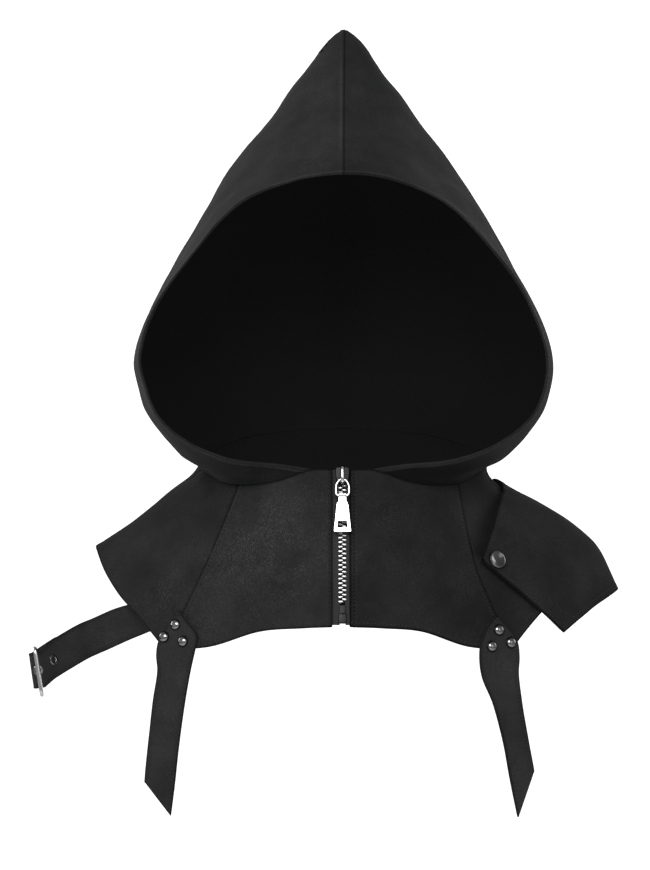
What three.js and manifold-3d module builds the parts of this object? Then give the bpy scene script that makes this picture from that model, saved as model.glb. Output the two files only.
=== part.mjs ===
import * as THREE from 'three';
import { mergeVertices } from 'three/addons/utils/BufferGeometryUtils.js';
import Module from 'manifold-3d';

// A pointed gothic hood of black suede cloth on a short zipped yoke, with a snapped shoulder flap,
// two hanging strap tails and a side strap with a buckle.
// Millimetres. +X is the viewer's right, the front faces -Y, +Z is up.
// The origin is the middle of the neck opening, where a neck fills the hood.

const wasm = await Module();
wasm.setup();

// Driving dimensions.
const CLOTH = 2.0;              // doubled suede cloth of the hood, yoke and flap
const WEBBING = 2.2;            // the strap tails and the buckle strap
const SEAM_GAP = 0.3;           // what two sewn or touching pieces keep between them
const SEAM_HALF_GAP = SEAM_GAP / 2;
const NECK_GAP = 0.7;           // between the hood and the yoke
const HOOD_SHIFT = 1;           // the hood sits a little to the viewer's right of the zip
const PEAK_LEAN = 1.2;          // how far its peak leans further to the right
const LEAN_FROM = 230;          // height where the lean starts
const LEAN_OVER = 130;          // height over which it grows
const RIGHT_INSET = 7;          // the viewer's right front corner hangs this much nearer the zip
const RIGHT_DROP = 10;          // and the shoulder under the flap lies this much lower
const PLACKET_LEFT = 8.7;       // from the middle of the zip to the yoke's edge, viewer's left
const PLACKET_RIGHT = 6.2;      // and viewer's right

// Hood ribs, from the neck seam up. Each runs from the face opening round the side to the back seam.
// rim: on the edge of the face opening. front: a quarter of the way. side: the widest point.
// back: [y, z] on the back seam. round: 0.7 is a round back quarter, 0.5 a flat one.
const HOOD_RIBS = [
  { rim: [45, -113, 2.5], front: [92, -90, -5], side: [122.5, -8, 8], back: [93, 46], round: 0.72 },
  { rim: [91, -120, 8], front: [116, -84, 4], side: [134, -22, 15], back: [101, 58], round: 0.72 },
  { rim: [126.5, -110, 22], front: [139, -76, 23], side: [148, -30, 31], back: [109, 72], round: 0.72 },
  { rim: [152, -99, 46], front: [158, -70, 49], side: [161, -34, 52], back: [116, 92], round: 0.71 },
  { rim: [161.5, -91, 84.5], front: [165.5, -64, 85], side: [166.5, -34, 86], back: [121, 120], round: 0.7 },
  { rim: [149, -94, 127], front: [153.5, -60, 127.5], side: [154, -24, 129], back: [122, 157], round: 0.69 },
  { rim: [122, -103, 167], front: [127, -60, 172], side: [127, -8, 181], back: [115, 200], round: 0.67 },
  { rim: [81.5, -111, 209], front: [90, -62, 224], side: [89, 2, 247], back: [96, 247], round: 0.64 },
  { rim: [40, -115, 227], front: [46, -60, 264], side: [42, 8, 312], back: [62, 303], round: 0.6 },
  { rim: [20, -116, 231], front: [25, -56, 281], side: [19, 8, 343], back: [29, 346], round: 0.6 },
  { rim: [9, -116, 231.8], front: [12, -50, 292], side: [9.5, 10, 353], back: [20, 355.5], round: 0.6 },
  { rim: [0, -116, 232], front: [0, -84, 263], side: [0, -38, 308], back: [12, 358], round: 0.5 },
];
const HOOD_COLUMNS = 20;
const HOOD_ROWS_PER_RIB = 1.5;

// Yoke spokes, from the zip round the viewer's right side to the middle of the back.
// neck: on the neck seam. mid: half way out. edge: on the hem or the armhole.
const YOKE_SPOKES = [
  { neck: [0, -104, 0], mid: [0, -116.2, -60.5], edge: [0, -128.5, -121] },
  { neck: [26, -104, -0.5], mid: [28, -116.5, -61], edge: [31, -127.5, -122] },
  { neck: [50, -97.5, -8.5], mid: [56, -111.5, -66], edge: [64, -122, -124.8] },
  { neck: [67, -89, -11.5], mid: [83, -103, -73], edge: [104, -108, -137.5] },
  { neck: [82, -78, -12], mid: [107, -91, -73], edge: [140, -90, -141] },
  { neck: [98, -60, -10], mid: [125, -78, -68], edge: [156, -78, -122] },
  { neck: [110, -40, -6.5], mid: [139, -60, -58], edge: [174, -60, -102] },
  { neck: [118, -18, -2], mid: [149, -37, -44], edge: [188.5, -36, -82] },
  { neck: [121, 5, -1], mid: [157, -8, -33], edge: [199, -4, -60] },
  { neck: [118, 27, 7], mid: [155, 20, -34], edge: [190, 26, -76] },
  { neck: [105, 46, 17], mid: [140, 50, -38], edge: [174, 52, -100] },
  { neck: [82, 66, 25], mid: [112, 78, -44], edge: [148, 76, -132] },
  { neck: [45, 80, 31], mid: [60, 98, -42], edge: [78, 100, -124] },
  { neck: [0, 84, 33], mid: [0, 105, -40], edge: [0, 110, -118] },
];
const HOOD_CORNER_SPOKE = 1;    // where the hood's front corner meets the yoke
const PRINCESS_SPOKE = 4;       // seam between the front and the shoulder panels
const RIDGE_SPOKE = 8;          // shoulder seam, and the shoulder's tip
const BACK_CORNER_SPOKE = 11;
const LAST_SPOKE = YOKE_SPOKES.length - 1;
const HEM_CORNERS = [0, PRINCESS_SPOKE, RIDGE_SPOKE, BACK_CORNER_SPOKE, LAST_SPOKE];
const COLUMNS_PER_SPOKE = 3;
const YOKE_ROWS = 7;

// Shoulder flap, from its inner edge out to its hem, on the viewer's right.
// Each row arches over the shoulder from the snapped front edge to the back edge.
const FLAP_ROWS = [
  { front: [110.4, -93, -70.5], fore: [124.5, -57, -33], ridge: [131.5, 3, -11.5], aft: [123.5, 46, 1], back: [113, 82, -41] },
  { front: [127, -88, -84.5], fore: [146, -54, -46.5], ridge: [157, 1, -25.5], aft: [147, 45.5, -31], back: [128, 82, -61] },
  { front: [143, -82.5, -98], fore: [164, -49, -65.5], ridge: [182, 0, -41], aft: [165, 48, -59], back: [144, 80, -80] },
  { front: [159.5, -74.5, -112.5], fore: [188, -40, -79], ridge: [205.5, -2, -61], aft: [185, 45, -85], back: [161, 73, -103] },
  { front: [176.6, -63, -129], fore: [201, -32, -112], ridge: [223.5, 0, -97.5], aft: [202, 34, -112], back: [177, 62, -127] },
];
const FLAP_COLUMNS = 12;
const FLAP_ROW_COUNT = 9;

// Strap tails. outer and inner are the edges away from and nearest the zip, given as [x, z] where
// the strap lies on the yoke, and as [x, y, z] where it hangs free.
const TAIL_LEFT = {
  side: -1,
  onYoke: [
    { outer: [-127.8, -112.5], inner: [-126.6, -112.5] },
    { outer: [-134.5, -121.5], inner: [-120.5, -120.5] },
    { outer: [-143.2, -134.5], inner: [-113.3, -130.5] },
    { outer: [-145.2, -146], inner: [-115, -141] },
  ],
  hanging: [
    { outer: [-145.4, -95, -158], inner: [-120, -103, -158] },
    { outer: [-148.6, -98, -182], inner: [-124, -104, -182] },
    { outer: [-152, -100, -214], inner: [-128.6, -104, -216] },
    { outer: [-154.6, -99, -238], inner: [-132, -102, -246] },
    { outer: [-155.4, -98, -245], inner: [-135, -100, -271] },
  ],
};
const TAIL_RIGHT = {
  side: 1,
  onYoke: [
    { outer: [120.6, -116.2], inner: [119.4, -116.2] },
    { outer: [128.5, -125], inner: [113.8, -123] },
    { outer: [136.5, -135.5], inner: [108.4, -134] },
    { outer: [138, -147.5], inner: [107, -147] },
  ],
  hanging: [
    { outer: [138.4, -97, -160], inner: [110, -105, -162] },
    { outer: [141, -99, -182], inner: [118.4, -107, -182] },
    { outer: [146, -97, -212], inner: [126.4, -110, -212] },
    { outer: [150.4, -95, -234], inner: [131.8, -110, -240] },
    { outer: [151, -94.6, -237], inner: [138, -108, -271] },
  ],
};
const TAIL_LIFT = 0.6;          // a strap tail's clearance over the yoke that it is riveted to
const TAIL_COLUMNS = 4;
const TAIL_ROW_COUNT = 14;

// Rivets, as [x, z] on the strap tails.
const RIVETS_LEFT = [[-130, -122.3], [-139.2, -132], [-124, -135]];
const RIVETS_RIGHT = [[121.8, -126.3], [116, -138.8], [131.4, -136.4]];
const RIVET_RADIUS = 4.6;
const RIVET_DOME = 2.2;
const POST_RADIUS = 1.4;
const POST_CLEARANCE = 0.3;
const RIVET_HEAD = 2.8;         // radius of the flat head behind the cloth
const HEAD_THICK = 0.9;
const POST_HOLE_LENGTH = 24;

// Snap that holds the flap's front corner.
const SNAP_ROW = 1.15;          // where its cap sits, counted in rows and columns of the flap
const SNAP_COLUMN = 0.5;
const SNAP_RADIUS = 7.5;
const SNAP_DOME = 2.4;
const SNAP_POST = 2;
const SNAP_HEAD = 4.5;

// Zip. Its own frame has -Z down the chain and -Y out of the chest.
const ZIP_TOP = new THREE.Vector3(0, -104, 0);
const ZIP_FOOT = new THREE.Vector3(0, -128.5, -121);
const TAPE_THICK = 0.8;
const TAPE_BACK = CLOTH + 0.8;  // the tape's outer face, behind the yoke's outer face
const TAPE_INNER = 3.7;
const TAPE_OUTER = 14;
const TEETH_SPINE = [1.7, 3.4];
const TOOTH_REACH = 1.3;        // how far a tooth passes the middle
const TOOTH_PITCH = 3.6;
const TOOTH_WIDTH = 1.4;
const TEETH_THICK = 2.6;
const CHAIN_FROM = -11.2;
const CHAIN_TO = -106.4;
const BOX_SHOULDER = -113.6;    // the pin above is narrower than the box
const BOX_FOOT = -121;
const BOX_HALF = 3.4;
const PIN_HALF = 2.6;
const BOX_THICK = 3.6;
const SLIDER_TOP = 3.2;
const SLIDER_FOOT = -10.6;
const SLIDER_HALF = 5.9;
const SLIDER_FOOT_HALF = 4.6;
const SLIDER_CORNER = 1.2;
const SLIDER_FACE = -3.2;
const SLIDER_PLATE_BACK = -0.4; // the front plate clears the cloth beside the zip
const SLIDER_BACK = 4.2;
const SLIDER_CORE = 3.2;        // half the width of its middle, between the tapes
const CROWN_FACE = -7.1;        // the loop on the slider that holds the bail
const CROWN_TOP = 2;
const CROWN_FOOT = -10.4;
const CROWN_WIDTH = 4.4;
const CROWN_SLOT = 1.35;        // radius of the hole for the bail's top bar
const BAIL_WIRE = 1.7;
const BAIL_TOP = -8.4;
const BAIL_FOOT = -20.8;
const BAIL_PLANE = -4.75;       // the plane that the bail and the tab hang in
const BAIL_HALF = 4.9;
const BAIL_TOP_HALF = 2.6;
const BAIL_SHOULDER = -13;
const TAB_LENGTH = 31.4;
const TAB_THICK = 1.8;
const TAB_NECK = 3.1;           // half widths, from the top down
const TAB_SHOULDER = 4.6;
const TAB_FOOT = 6.9;
const BARREL_RADIUS = 2.1;
const BARREL_HOLE = 1.2;

// Buckle strap, on the viewer's left. Each row has the strap's top and bottom edge.
// The first rows, given as [x, z], lie against the back of the shoulder panel that it is sewn to.
const BUCKLE_STRAP_ROOT = [
  { top: [-154, -97], bottom: [-141, -121] },
  { top: [-163, -101.5], bottom: [-146, -127] },
];
const BUCKLE_STRAP_ROWS = [
  { top: [-172.5, -55, -106.5], bottom: [-155, -64, -132] },
  { top: [-183.4, -51, -111], bottom: [-169, -56, -137] },
  { top: [-199, -50.5, -118.6], bottom: [-184.5, -52, -143.5] },
  { top: [-212, -56, -124.8], bottom: [-202.5, -57, -150.5] },
  { top: [-228, -70, -134.6], bottom: [-219.5, -70.5, -158.8] },
];
const HEEL = new THREE.Vector3(-239, -95, -157.4);
const HEEL_AXIS = new THREE.Vector3(0.148, 0, -0.989).normalize();
const STRAP_END_HEADING = new THREE.Vector3(-0.656, -0.755, 0);
const FRAME_HEADING = new THREE.Vector3(0.087, -0.994, 0.02);
const BUCKLE_STRAP_HALF = 13.4;
const FOLD_RADIUS = 4.5;        // to the middle of the folded strap
const FOLD_STEPS = 10;
const RETURN_GAPS = [6, 3.3, 2.9, 2.9];  // from the strap's middle to its turned-back end, each step
const STRAP_STEPS = 16;
const EYELET_STEP = 2.3;        // the strap eyelet's place, in steps back from the fold
const EYELET_RADIUS = 4.1;
const EYELET_HOLE = 1.7;
const EYELET_BARREL = 2.5;
const EYELET_CLEARANCE = 0.8;   // its flanges are flat and the strap is slightly curved
const FLANGE = 0.8;
const PRONG_RING = [2, 2.9];
const PRONG_RING_HALF = 1.5;
const PRONG_RADIUS = 1.1;
const PRONG_REACH = 21.8;
const PRONG_HOLE = 1.6;
const FRAME_LENGTH = 40;
const FRAME_DEPTH = 24;
const FRAME_WIRE = 3;
const FRAME_CHAMFER = 3;        // across the frame's corners
const FRAME_BEVEL = 0.8;

const vec = (x, y, z) => new THREE.Vector3(x, y, z);
const fromRow = (row) => new THREE.Vector3(...row);

// Closed bodies

function closedBody(points, faces) {
  let volume = 0;
  for (const [a, b, c] of faces) {
    volume += points[a].dot(points[b].clone().cross(points[c]));
  }
  const index = faces.flatMap(([a, b, c]) => (volume > 0 ? [a, b, c] : [a, c, b]));
  const geometry = new THREE.BufferGeometry();
  const positions = points.flatMap((point) => point.toArray());
  geometry.setAttribute('position', new THREE.Float32BufferAttribute(positions, 3));
  geometry.setIndex(index);
  geometry.computeVertexNormals();
  return geometry;
}

// A wall between two grids of points, closed along its four sides.
function wall(outer, inner) {
  const rows = outer.length;
  const columns = outer[0].length;
  const at = (layer, i, j) => (layer * rows + i) * columns + j;
  const faces = [];
  const quad = (a, b, c, d) => faces.push([a, b, c], [a, c, d]);
  for (let i = 0; i < rows - 1; i += 1) {
    for (let j = 0; j < columns - 1; j += 1) {
      quad(at(0, i, j), at(0, i, j + 1), at(0, i + 1, j + 1), at(0, i + 1, j));
      quad(at(1, i, j), at(1, i + 1, j), at(1, i + 1, j + 1), at(1, i, j + 1));
    }
  }
  const end = rows - 1;
  for (let j = 0; j < columns - 1; j += 1) {
    quad(at(0, 0, j), at(1, 0, j), at(1, 0, j + 1), at(0, 0, j + 1));
    quad(at(0, end, j), at(0, end, j + 1), at(1, end, j + 1), at(1, end, j));
  }
  const last = columns - 1;
  for (let i = 0; i < rows - 1; i += 1) {
    quad(at(0, i, 0), at(0, i + 1, 0), at(1, i + 1, 0), at(1, i, 0));
    quad(at(0, i, last), at(1, i, last), at(1, i + 1, last), at(0, i + 1, last));
  }
  return closedBody([...outer.flat(), ...inner.flat()], faces);
}

// Unit normals of a grid, along (next row) x (next column).
function gridNormals(grid) {
  const rows = grid.length;
  const columns = grid[0].length;
  return grid.map((row, i) => row.map((point, j) => {
    const down = grid[Math.min(i + 1, rows - 1)][j].clone().sub(grid[Math.max(i - 1, 0)][j]);
    const across = grid[i][Math.min(j + 1, columns - 1)].clone().sub(grid[i][Math.max(j - 1, 0)]);
    return down.cross(across).normalize();
  }));
}

const offsetGrid = (grid, normals, distance) =>
  grid.map((row, i) => row.map((point, j) => point.clone().addScaledVector(normals[i][j], distance)));

const mirrored = (grid) => grid.map((row) => row.map((point) => vec(-point.x, point.y, point.z)));

function toManifold(geometry) {
  const bare = new THREE.BufferGeometry();
  bare.setAttribute('position', geometry.getAttribute('position'));
  if (geometry.index) bare.setIndex(geometry.index);
  const merged = mergeVertices(bare, 1e-4);
  return new wasm.Manifold(new wasm.Mesh({
    numProp: 3,
    vertProperties: new Float32Array(merged.getAttribute('position').array),
    triVerts: new Uint32Array(merged.index.array),
  }));
}

function fromManifold(solid) {
  const mesh = solid.getMesh();
  const geometry = new THREE.BufferGeometry();
  geometry.setAttribute('position', new THREE.BufferAttribute(new Float32Array(mesh.vertProperties), 3));
  geometry.setIndex(new THREE.BufferAttribute(new Uint32Array(mesh.triVerts), 1));
  geometry.computeVertexNormals();
  return geometry;
}

const joinAll = (geometries) => fromManifold(geometries.map(toManifold).reduce((sum, next) => sum.add(next)));
const cutAll = (geometry, cutters) =>
  fromManifold(cutters.map(toManifold).reduce((rest, next) => rest.subtract(next), toManifold(geometry)));

// Turns a shape made along +Y so that +Y becomes heading, and moves it to a point.
function alongHeading(geometry, point, heading) {
  const turn = new THREE.Quaternion().setFromUnitVectors(vec(0, 1, 0), heading.clone().normalize());
  return geometry.clone().applyQuaternion(turn).translate(point.x, point.y, point.z);
}

// Smooth curve through rows of points, at a place counted in rows.
function rowCurve(points) {
  const curve = new THREE.CatmullRomCurve3(points, false, 'centripetal');
  return (place) => curve.getPoint(THREE.MathUtils.clamp(place / (points.length - 1), 0, 1));
}

// Yoke surface

const neckCurve = rowCurve(YOKE_SPOKES.map((spoke) => fromRow(spoke.neck)));
const midCurve = rowCurve(YOKE_SPOKES.map((spoke) => fromRow(spoke.mid)));
const edgeCurves = HEM_CORNERS.slice(0, -1).map((from, k) =>
  rowCurve(YOKE_SPOKES.slice(from, HEM_CORNERS[k + 1] + 1).map((spoke) => fromRow(spoke.edge))));

function edgePoint(place) {
  let k = 0;
  while (k < edgeCurves.length - 1 && place > HEM_CORNERS[k + 1]) k += 1;
  return edgeCurves[k](place - HEM_CORNERS[k]);
}

// A point of the yoke's outer face on the viewer's right: place counts spokes, reach is 0 at the
// neck seam and 1 at the edge. side is 1 or -1, and x is positive on both.
function yokePoint(place, reach, side) {
  const point = neckCurve(place).multiplyScalar((1 - reach) * (1 - 2 * reach));
  point.addScaledVector(midCurve(place), 4 * reach * (1 - reach));
  point.addScaledVector(edgePoint(place), reach * (2 * reach - 1));
  if (side > 0) {
    const corner = Math.sin(Math.PI * THREE.MathUtils.clamp((place - 1) / 7, 0, 1));
    const shoulder = Math.sin(Math.PI * THREE.MathUtils.clamp((place - 5) / 6, 0, 1));
    point.x -= RIGHT_INSET * reach * corner;
    point.z -= RIGHT_DROP * THREE.MathUtils.clamp(5 * reach, 0, 1) * (1 - reach) * shoulder;
  }
  return point;
}

// The front edge beside the zip is straight.
function yokeGrid(side) {
  const placket = side > 0 ? PLACKET_RIGHT : PLACKET_LEFT;
  const count = LAST_SPOKE * COLUMNS_PER_SPOKE;
  return Array.from({ length: YOKE_ROWS + 1 }, (_, i) => {
    const firstSpoke = yokePoint(1, i / YOKE_ROWS, side);
    return Array.from({ length: count + 1 }, (_, j) => {
      const place = j / COLUMNS_PER_SPOKE;
      const point = yokePoint(place, i / YOKE_ROWS, side);
      if (place < 1) point.x = THREE.MathUtils.lerp(placket, firstSpoke.x, place);
      return point;
    });
  });
}

// The point and outward normal of the yoke's outer face under (x, z), on its front.
function yokeUnder(side, x, z) {
  let place = PRINCESS_SPOKE;
  let reach = 0.8;
  const step = 1e-3;
  const target = new THREE.Vector2(x * side, z);
  for (let k = 0; k < 30; k += 1) {
    const here = yokePoint(place, reach, side);
    const along = yokePoint(place - step, reach, side).sub(here).divideScalar(-step);
    const out = yokePoint(place, reach + step, side).sub(here).divideScalar(step);
    const dx = target.x - here.x;
    const dz = target.y - here.z;
    const scale = along.x * out.z - along.z * out.x;
    place += THREE.MathUtils.clamp((dx * out.z - dz * out.x) / scale, -0.4, 0.4);
    reach += THREE.MathUtils.clamp((along.x * dz - along.z * dx) / scale, -0.2, 0.2);
  }
  const point = yokePoint(place, reach, side);
  const along = yokePoint(place + 0.05, reach, side).sub(yokePoint(place - 0.05, reach, side));
  const out = yokePoint(place, reach + 0.03, side).sub(yokePoint(place, reach - 0.03, side));
  const normal = out.cross(along).normalize();
  return { point: vec(point.x * side, point.y, point.z), normal: vec(normal.x * side, normal.y, normal.z) };
}

// Moves the nodes of one side of a wall in along the wall, so that it clears the piece beside it.
function backOff(outer, inner, column, neighbour, distance = SEAM_HALF_GAP) {
  for (let i = 0; i < outer.length; i += 1) {
    const step = outer[i][neighbour].clone().sub(outer[i][column]).setLength(distance);
    outer[i][column].add(step);
    inner[i][column].add(step);
  }
}

function yokeFaces(side) {
  const outer = yokeGrid(side);
  const normals = gridNormals(outer);
  const middle = normals[0].length - 1;
  normals.forEach((row) => row[middle].setX(0).normalize());
  return { outer, inner: offsetGrid(outer, normals, -CLOTH) };
}

const columnsOf = (grid, from, to) => grid.map((row) => row.slice(from, to + 1).map((point) => point.clone()));

function yokePanel(side, fromSpoke, toSpoke) {
  const faces = yokeFaces(side);
  const from = fromSpoke * COLUMNS_PER_SPOKE;
  const to = toSpoke * COLUMNS_PER_SPOKE;
  let outer = columnsOf(faces.outer, from, to);
  let inner = columnsOf(faces.inner, from, to);
  const last = to - from;
  if (fromSpoke > 0) backOff(outer, inner, 0, 1);
  backOff(outer, inner, last, last - 1);
  if (side < 0) {
    outer = mirrored(outer);
    inner = mirrored(inner);
  }
  return wall(outer, inner);
}

function yokeBack() {
  const right = yokeFaces(1);
  const left = yokeFaces(-1);
  const from = RIDGE_SPOKE * COLUMNS_PER_SPOKE;
  const to = LAST_SPOKE * COLUMNS_PER_SPOKE;
  const across = (name) => {
    const leftHalf = mirrored(columnsOf(left[name], from, to));
    const rightHalf = columnsOf(right[name], from, to - 1);
    return leftHalf.map((row, i) => [...row, ...rightHalf[i].reverse()]);
  };
  const outer = across('outer');
  const inner = across('inner');
  const last = outer[0].length - 1;
  backOff(outer, inner, 0, 1);
  backOff(outer, inner, last, last - 1);
  return wall(outer, inner);
}

// Hood

function hoodRib(rib) {
  const side = fromRow(rib.side);
  const [backY, backZ] = rib.back;
  const quarter = vec(
    side.x * rib.round,
    THREE.MathUtils.lerp(side.y, backY, rib.round),
    THREE.MathUtils.lerp(side.z, backZ, 0.5),
  );
  const points = [fromRow(rib.rim), fromRow(rib.front), side, quarter, vec(0, backY, backZ)];
  return new THREE.CatmullRomCurve3(points, false, 'centripetal').getSpacedPoints(HOOD_COLUMNS);
}

function neckRib() {
  const count = 60;
  const points = Array.from({ length: count + 1 }, (_, k) =>
    neckCurve(THREE.MathUtils.lerp(HOOD_CORNER_SPOKE, LAST_SPOKE, k / count)));
  return new THREE.CatmullRomCurve3(points, false, 'centripetal').getSpacedPoints(HOOD_COLUMNS);
}

function hoodGrid() {
  const ribs = [neckRib(), ...HOOD_RIBS.map(hoodRib)];
  const rowCount = Math.round((ribs.length - 1) * HOOD_ROWS_PER_RIB);
  const columns = ribs[0].map((_, j) => rowCurve(ribs.map((rib) => rib[j])));
  return Array.from({ length: rowCount + 1 }, (_, i) =>
    columns.map((column) => column((i / rowCount) * (ribs.length - 1))));
}

function lean(point) {
  const rise = Math.max(point.z - LEAN_FROM, 0) / LEAN_OVER;
  const shift = HOOD_SHIFT * THREE.MathUtils.smoothstep(point.z, 10, 60);
  return vec(point.x + shift + PEAK_LEAN * rise ** 1.5, point.y, point.z);
}

function hoodPanel(side) {
  const outer = hoodGrid();
  const normals = gridNormals(outer).map((row) => row.map((normal) => normal.negate()));
  const last = outer[0].length - 1;
  const top = outer.length - 1;
  normals.forEach((row) => row[last].setX(0).normalize());
  normals[top].forEach((normal) => normal.setX(0).normalize());
  const inner = offsetGrid(outer, normals, -CLOTH);
  for (let j = 0; j <= last; j += 1) {
    const lift = outer[1][j].clone().sub(outer[0][j]).setLength(NECK_GAP);
    outer[0][j].add(lift);
    inner[0][j].add(lift);
  }
  const settle = (point) => {
    const x = Math.max(point.x, SEAM_HALF_GAP);
    return lean(vec(x * side, point.y, point.z));
  };
  return wall(outer.map((row) => row.map(settle)), inner.map((row) => row.map(settle)));
}

// Shoulder flap

function flapGrid() {
  const arches = FLAP_ROWS.map((row) => {
    const points = [row.front, row.fore, row.ridge, row.aft, row.back].map(fromRow);
    return new THREE.CatmullRomCurve3(points, false, 'centripetal').getSpacedPoints(FLAP_COLUMNS);
  });
  const columns = arches[0].map((_, j) => rowCurve(arches.map((arch) => arch[j])));
  return Array.from({ length: FLAP_ROW_COUNT + 1 }, (_, i) =>
    columns.map((column) => column((i / FLAP_ROW_COUNT) * (arches.length - 1))));
}

function flapBody() {
  const outer = flapGrid();
  return wall(outer, offsetGrid(outer, gridNormals(outer), -CLOTH));
}

// Straps

function overYoke(side, x, z, lift) {
  const under = yokeUnder(side, x, z);
  return under.point.addScaledVector(under.normal, lift);
}

function tailBody(tail) {
  const columns = Array.from({ length: TAIL_COLUMNS + 1 }, (_, j) => {
    const across = j / TAIL_COLUMNS;
    const seated = tail.onYoke.map(({ outer, inner }) => overYoke(
      tail.side,
      THREE.MathUtils.lerp(outer[0], inner[0], across),
      THREE.MathUtils.lerp(outer[1], inner[1], across),
      TAIL_LIFT + WEBBING,
    ));
    const free = tail.hanging.map(({ outer, inner }) => fromRow(outer).lerp(fromRow(inner), across));
    return { curve: rowCurve([...seated, ...free]), last: seated.length + free.length - 1 };
  });
  const grid = Array.from({ length: TAIL_ROW_COUNT + 1 }, (_, i) =>
    columns.map(({ curve, last }) => curve((i / TAIL_ROW_COUNT) * last)));
  const normals = gridNormals(grid);
  const outward = tail.side < 0 ? 1 : -1;
  return wall(grid, offsetGrid(grid, normals, -WEBBING * outward));
}

// Rivets and the snap: a domed cap on a post with a flat head behind. The cap's foot is at 0.
function capOnPost(radius, dome, postRadius, depth, headRadius, sides) {
  const profile = [
    [0, dome],
    [radius * 0.55, dome * 0.82],
    [radius * 0.9, dome * 0.38],
    [radius, 0],
    [postRadius, 0],
    [postRadius, -depth],
    [headRadius, -depth],
    [headRadius, -depth - HEAD_THICK],
    [0, -depth - HEAD_THICK],
  ].map(([x, y]) => new THREE.Vector2(x, y)).reverse();
  return new THREE.LatheGeometry(profile, sides);
}

const postHole = (radius) => new THREE.CylinderGeometry(radius, radius, POST_HOLE_LENGTH, 10);

function rivetSeats(side, places) {
  return places.map(([x, z]) => {
    const { point, normal } = yokeUnder(side, x, z);
    return { point: point.addScaledVector(normal, TAIL_LIFT + WEBBING + SEAM_GAP), normal };
  });
}

const rivetSeatsLeft = rivetSeats(-1, RIVETS_LEFT);
const rivetSeatsRight = rivetSeats(1, RIVETS_RIGHT);

function rivetBody({ point, normal }) {
  const depth = WEBBING + TAIL_LIFT + CLOTH + 2.5 * SEAM_GAP;
  const body = capOnPost(RIVET_RADIUS, RIVET_DOME, POST_RADIUS, depth, RIVET_HEAD, 10);
  return alongHeading(body, point, normal);
}

const rivetHoles = (seats) => seats.map(({ point, normal }) =>
  alongHeading(postHole(POST_RADIUS + POST_CLEARANCE), point, normal));

function snapSeat() {
  const outer = flapGrid();
  const normals = gridNormals(outer);
  const i = Math.floor(SNAP_ROW);
  const j = Math.floor(SNAP_COLUMN);
  const mix = (grid) => grid[i][j].clone().lerp(grid[i][j + 1], SNAP_COLUMN - j)
    .lerp(grid[i + 1][j].clone().lerp(grid[i + 1][j + 1], SNAP_COLUMN - j), SNAP_ROW - i);
  const normal = mix(normals).normalize();
  const point = mix(outer).addScaledVector(normal, SEAM_GAP);
  const yoke = yokeUnder(1, point.x, point.z);
  const depth = point.clone().sub(yoke.point).dot(normal) + CLOTH + 3 * SEAM_GAP;
  return { point, normal, depth };
}

const flapSnap = snapSeat();
const snapHole = alongHeading(postHole(SNAP_POST + POST_CLEARANCE), flapSnap.point, flapSnap.normal);

function snapBody() {
  const body = capOnPost(SNAP_RADIUS, SNAP_DOME, SNAP_POST, flapSnap.depth, SNAP_HEAD, 14);
  return alongHeading(body, flapSnap.point, flapSnap.normal);
}

// Zip

const zipHeading = ZIP_FOOT.clone().sub(ZIP_TOP);
const ZIP_TILT = Math.atan2(zipHeading.y, -zipHeading.z);

function plate(shape, thickness, bevel, segments = 1) {
  const body = new THREE.ExtrudeGeometry(shape, {
    depth: thickness - 2 * bevel,
    bevelEnabled: bevel > 0,
    bevelThickness: bevel,
    bevelSize: bevel,
    bevelOffset: -bevel,
    bevelSegments: segments,
    curveSegments: 5,
  });
  return body.translate(0, 0, bevel - thickness / 2).rotateX(Math.PI / 2);
}

function outlineShape(points) {
  return new THREE.Shape(points.map(([x, z]) => new THREE.Vector2(x, z)));
}

function tapeBody(side) {
  const length = -BOX_FOOT + 1;
  const width = TAPE_OUTER - TAPE_INNER;
  const body = new THREE.BoxGeometry(width, TAPE_THICK, length);
  return body.translate(side * (TAPE_INNER + width / 2), TAPE_BACK + TAPE_THICK / 2, -length / 2);
}

function teethBody(side) {
  const [spineIn, spineOut] = TEETH_SPINE;
  const first = side > 0 ? 0 : TOOTH_PITCH / 2;
  const points = [[spineOut, CHAIN_FROM]];
  points.push([spineIn, CHAIN_FROM]);
  for (let z = CHAIN_FROM - 0.2 - first; z - TOOTH_WIDTH > CHAIN_TO; z -= TOOTH_PITCH) {
    points.push([spineIn, z]);
    points.push([-TOOTH_REACH, z]);
    points.push([-TOOTH_REACH, z - TOOTH_WIDTH]);
    points.push([spineIn, z - TOOTH_WIDTH]);
  }
  points.push([spineIn, CHAIN_TO], [spineOut, CHAIN_TO]);
  const shape = outlineShape(points.map(([x, z]) => [x * side, z]));
  return plate(shape, TEETH_THICK, 0).translate(0, TAPE_BACK + TAPE_THICK / 2, 0);
}

function boxBody() {
  const pinTop = CHAIN_TO - SEAM_GAP;
  const boxTop = BOX_SHOULDER - (BOX_HALF - PIN_HALF);
  const shape = outlineShape([
    [-PIN_HALF, pinTop], [PIN_HALF, pinTop], [PIN_HALF, BOX_SHOULDER], [BOX_HALF, boxTop],
    [BOX_HALF, BOX_FOOT], [-BOX_HALF, BOX_FOOT], [-BOX_HALF, boxTop], [-PIN_HALF, BOX_SHOULDER],
  ]);
  return plate(shape, BOX_THICK, 0.4).translate(0, TAPE_BACK + TAPE_THICK / 2, 0);
}

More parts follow.
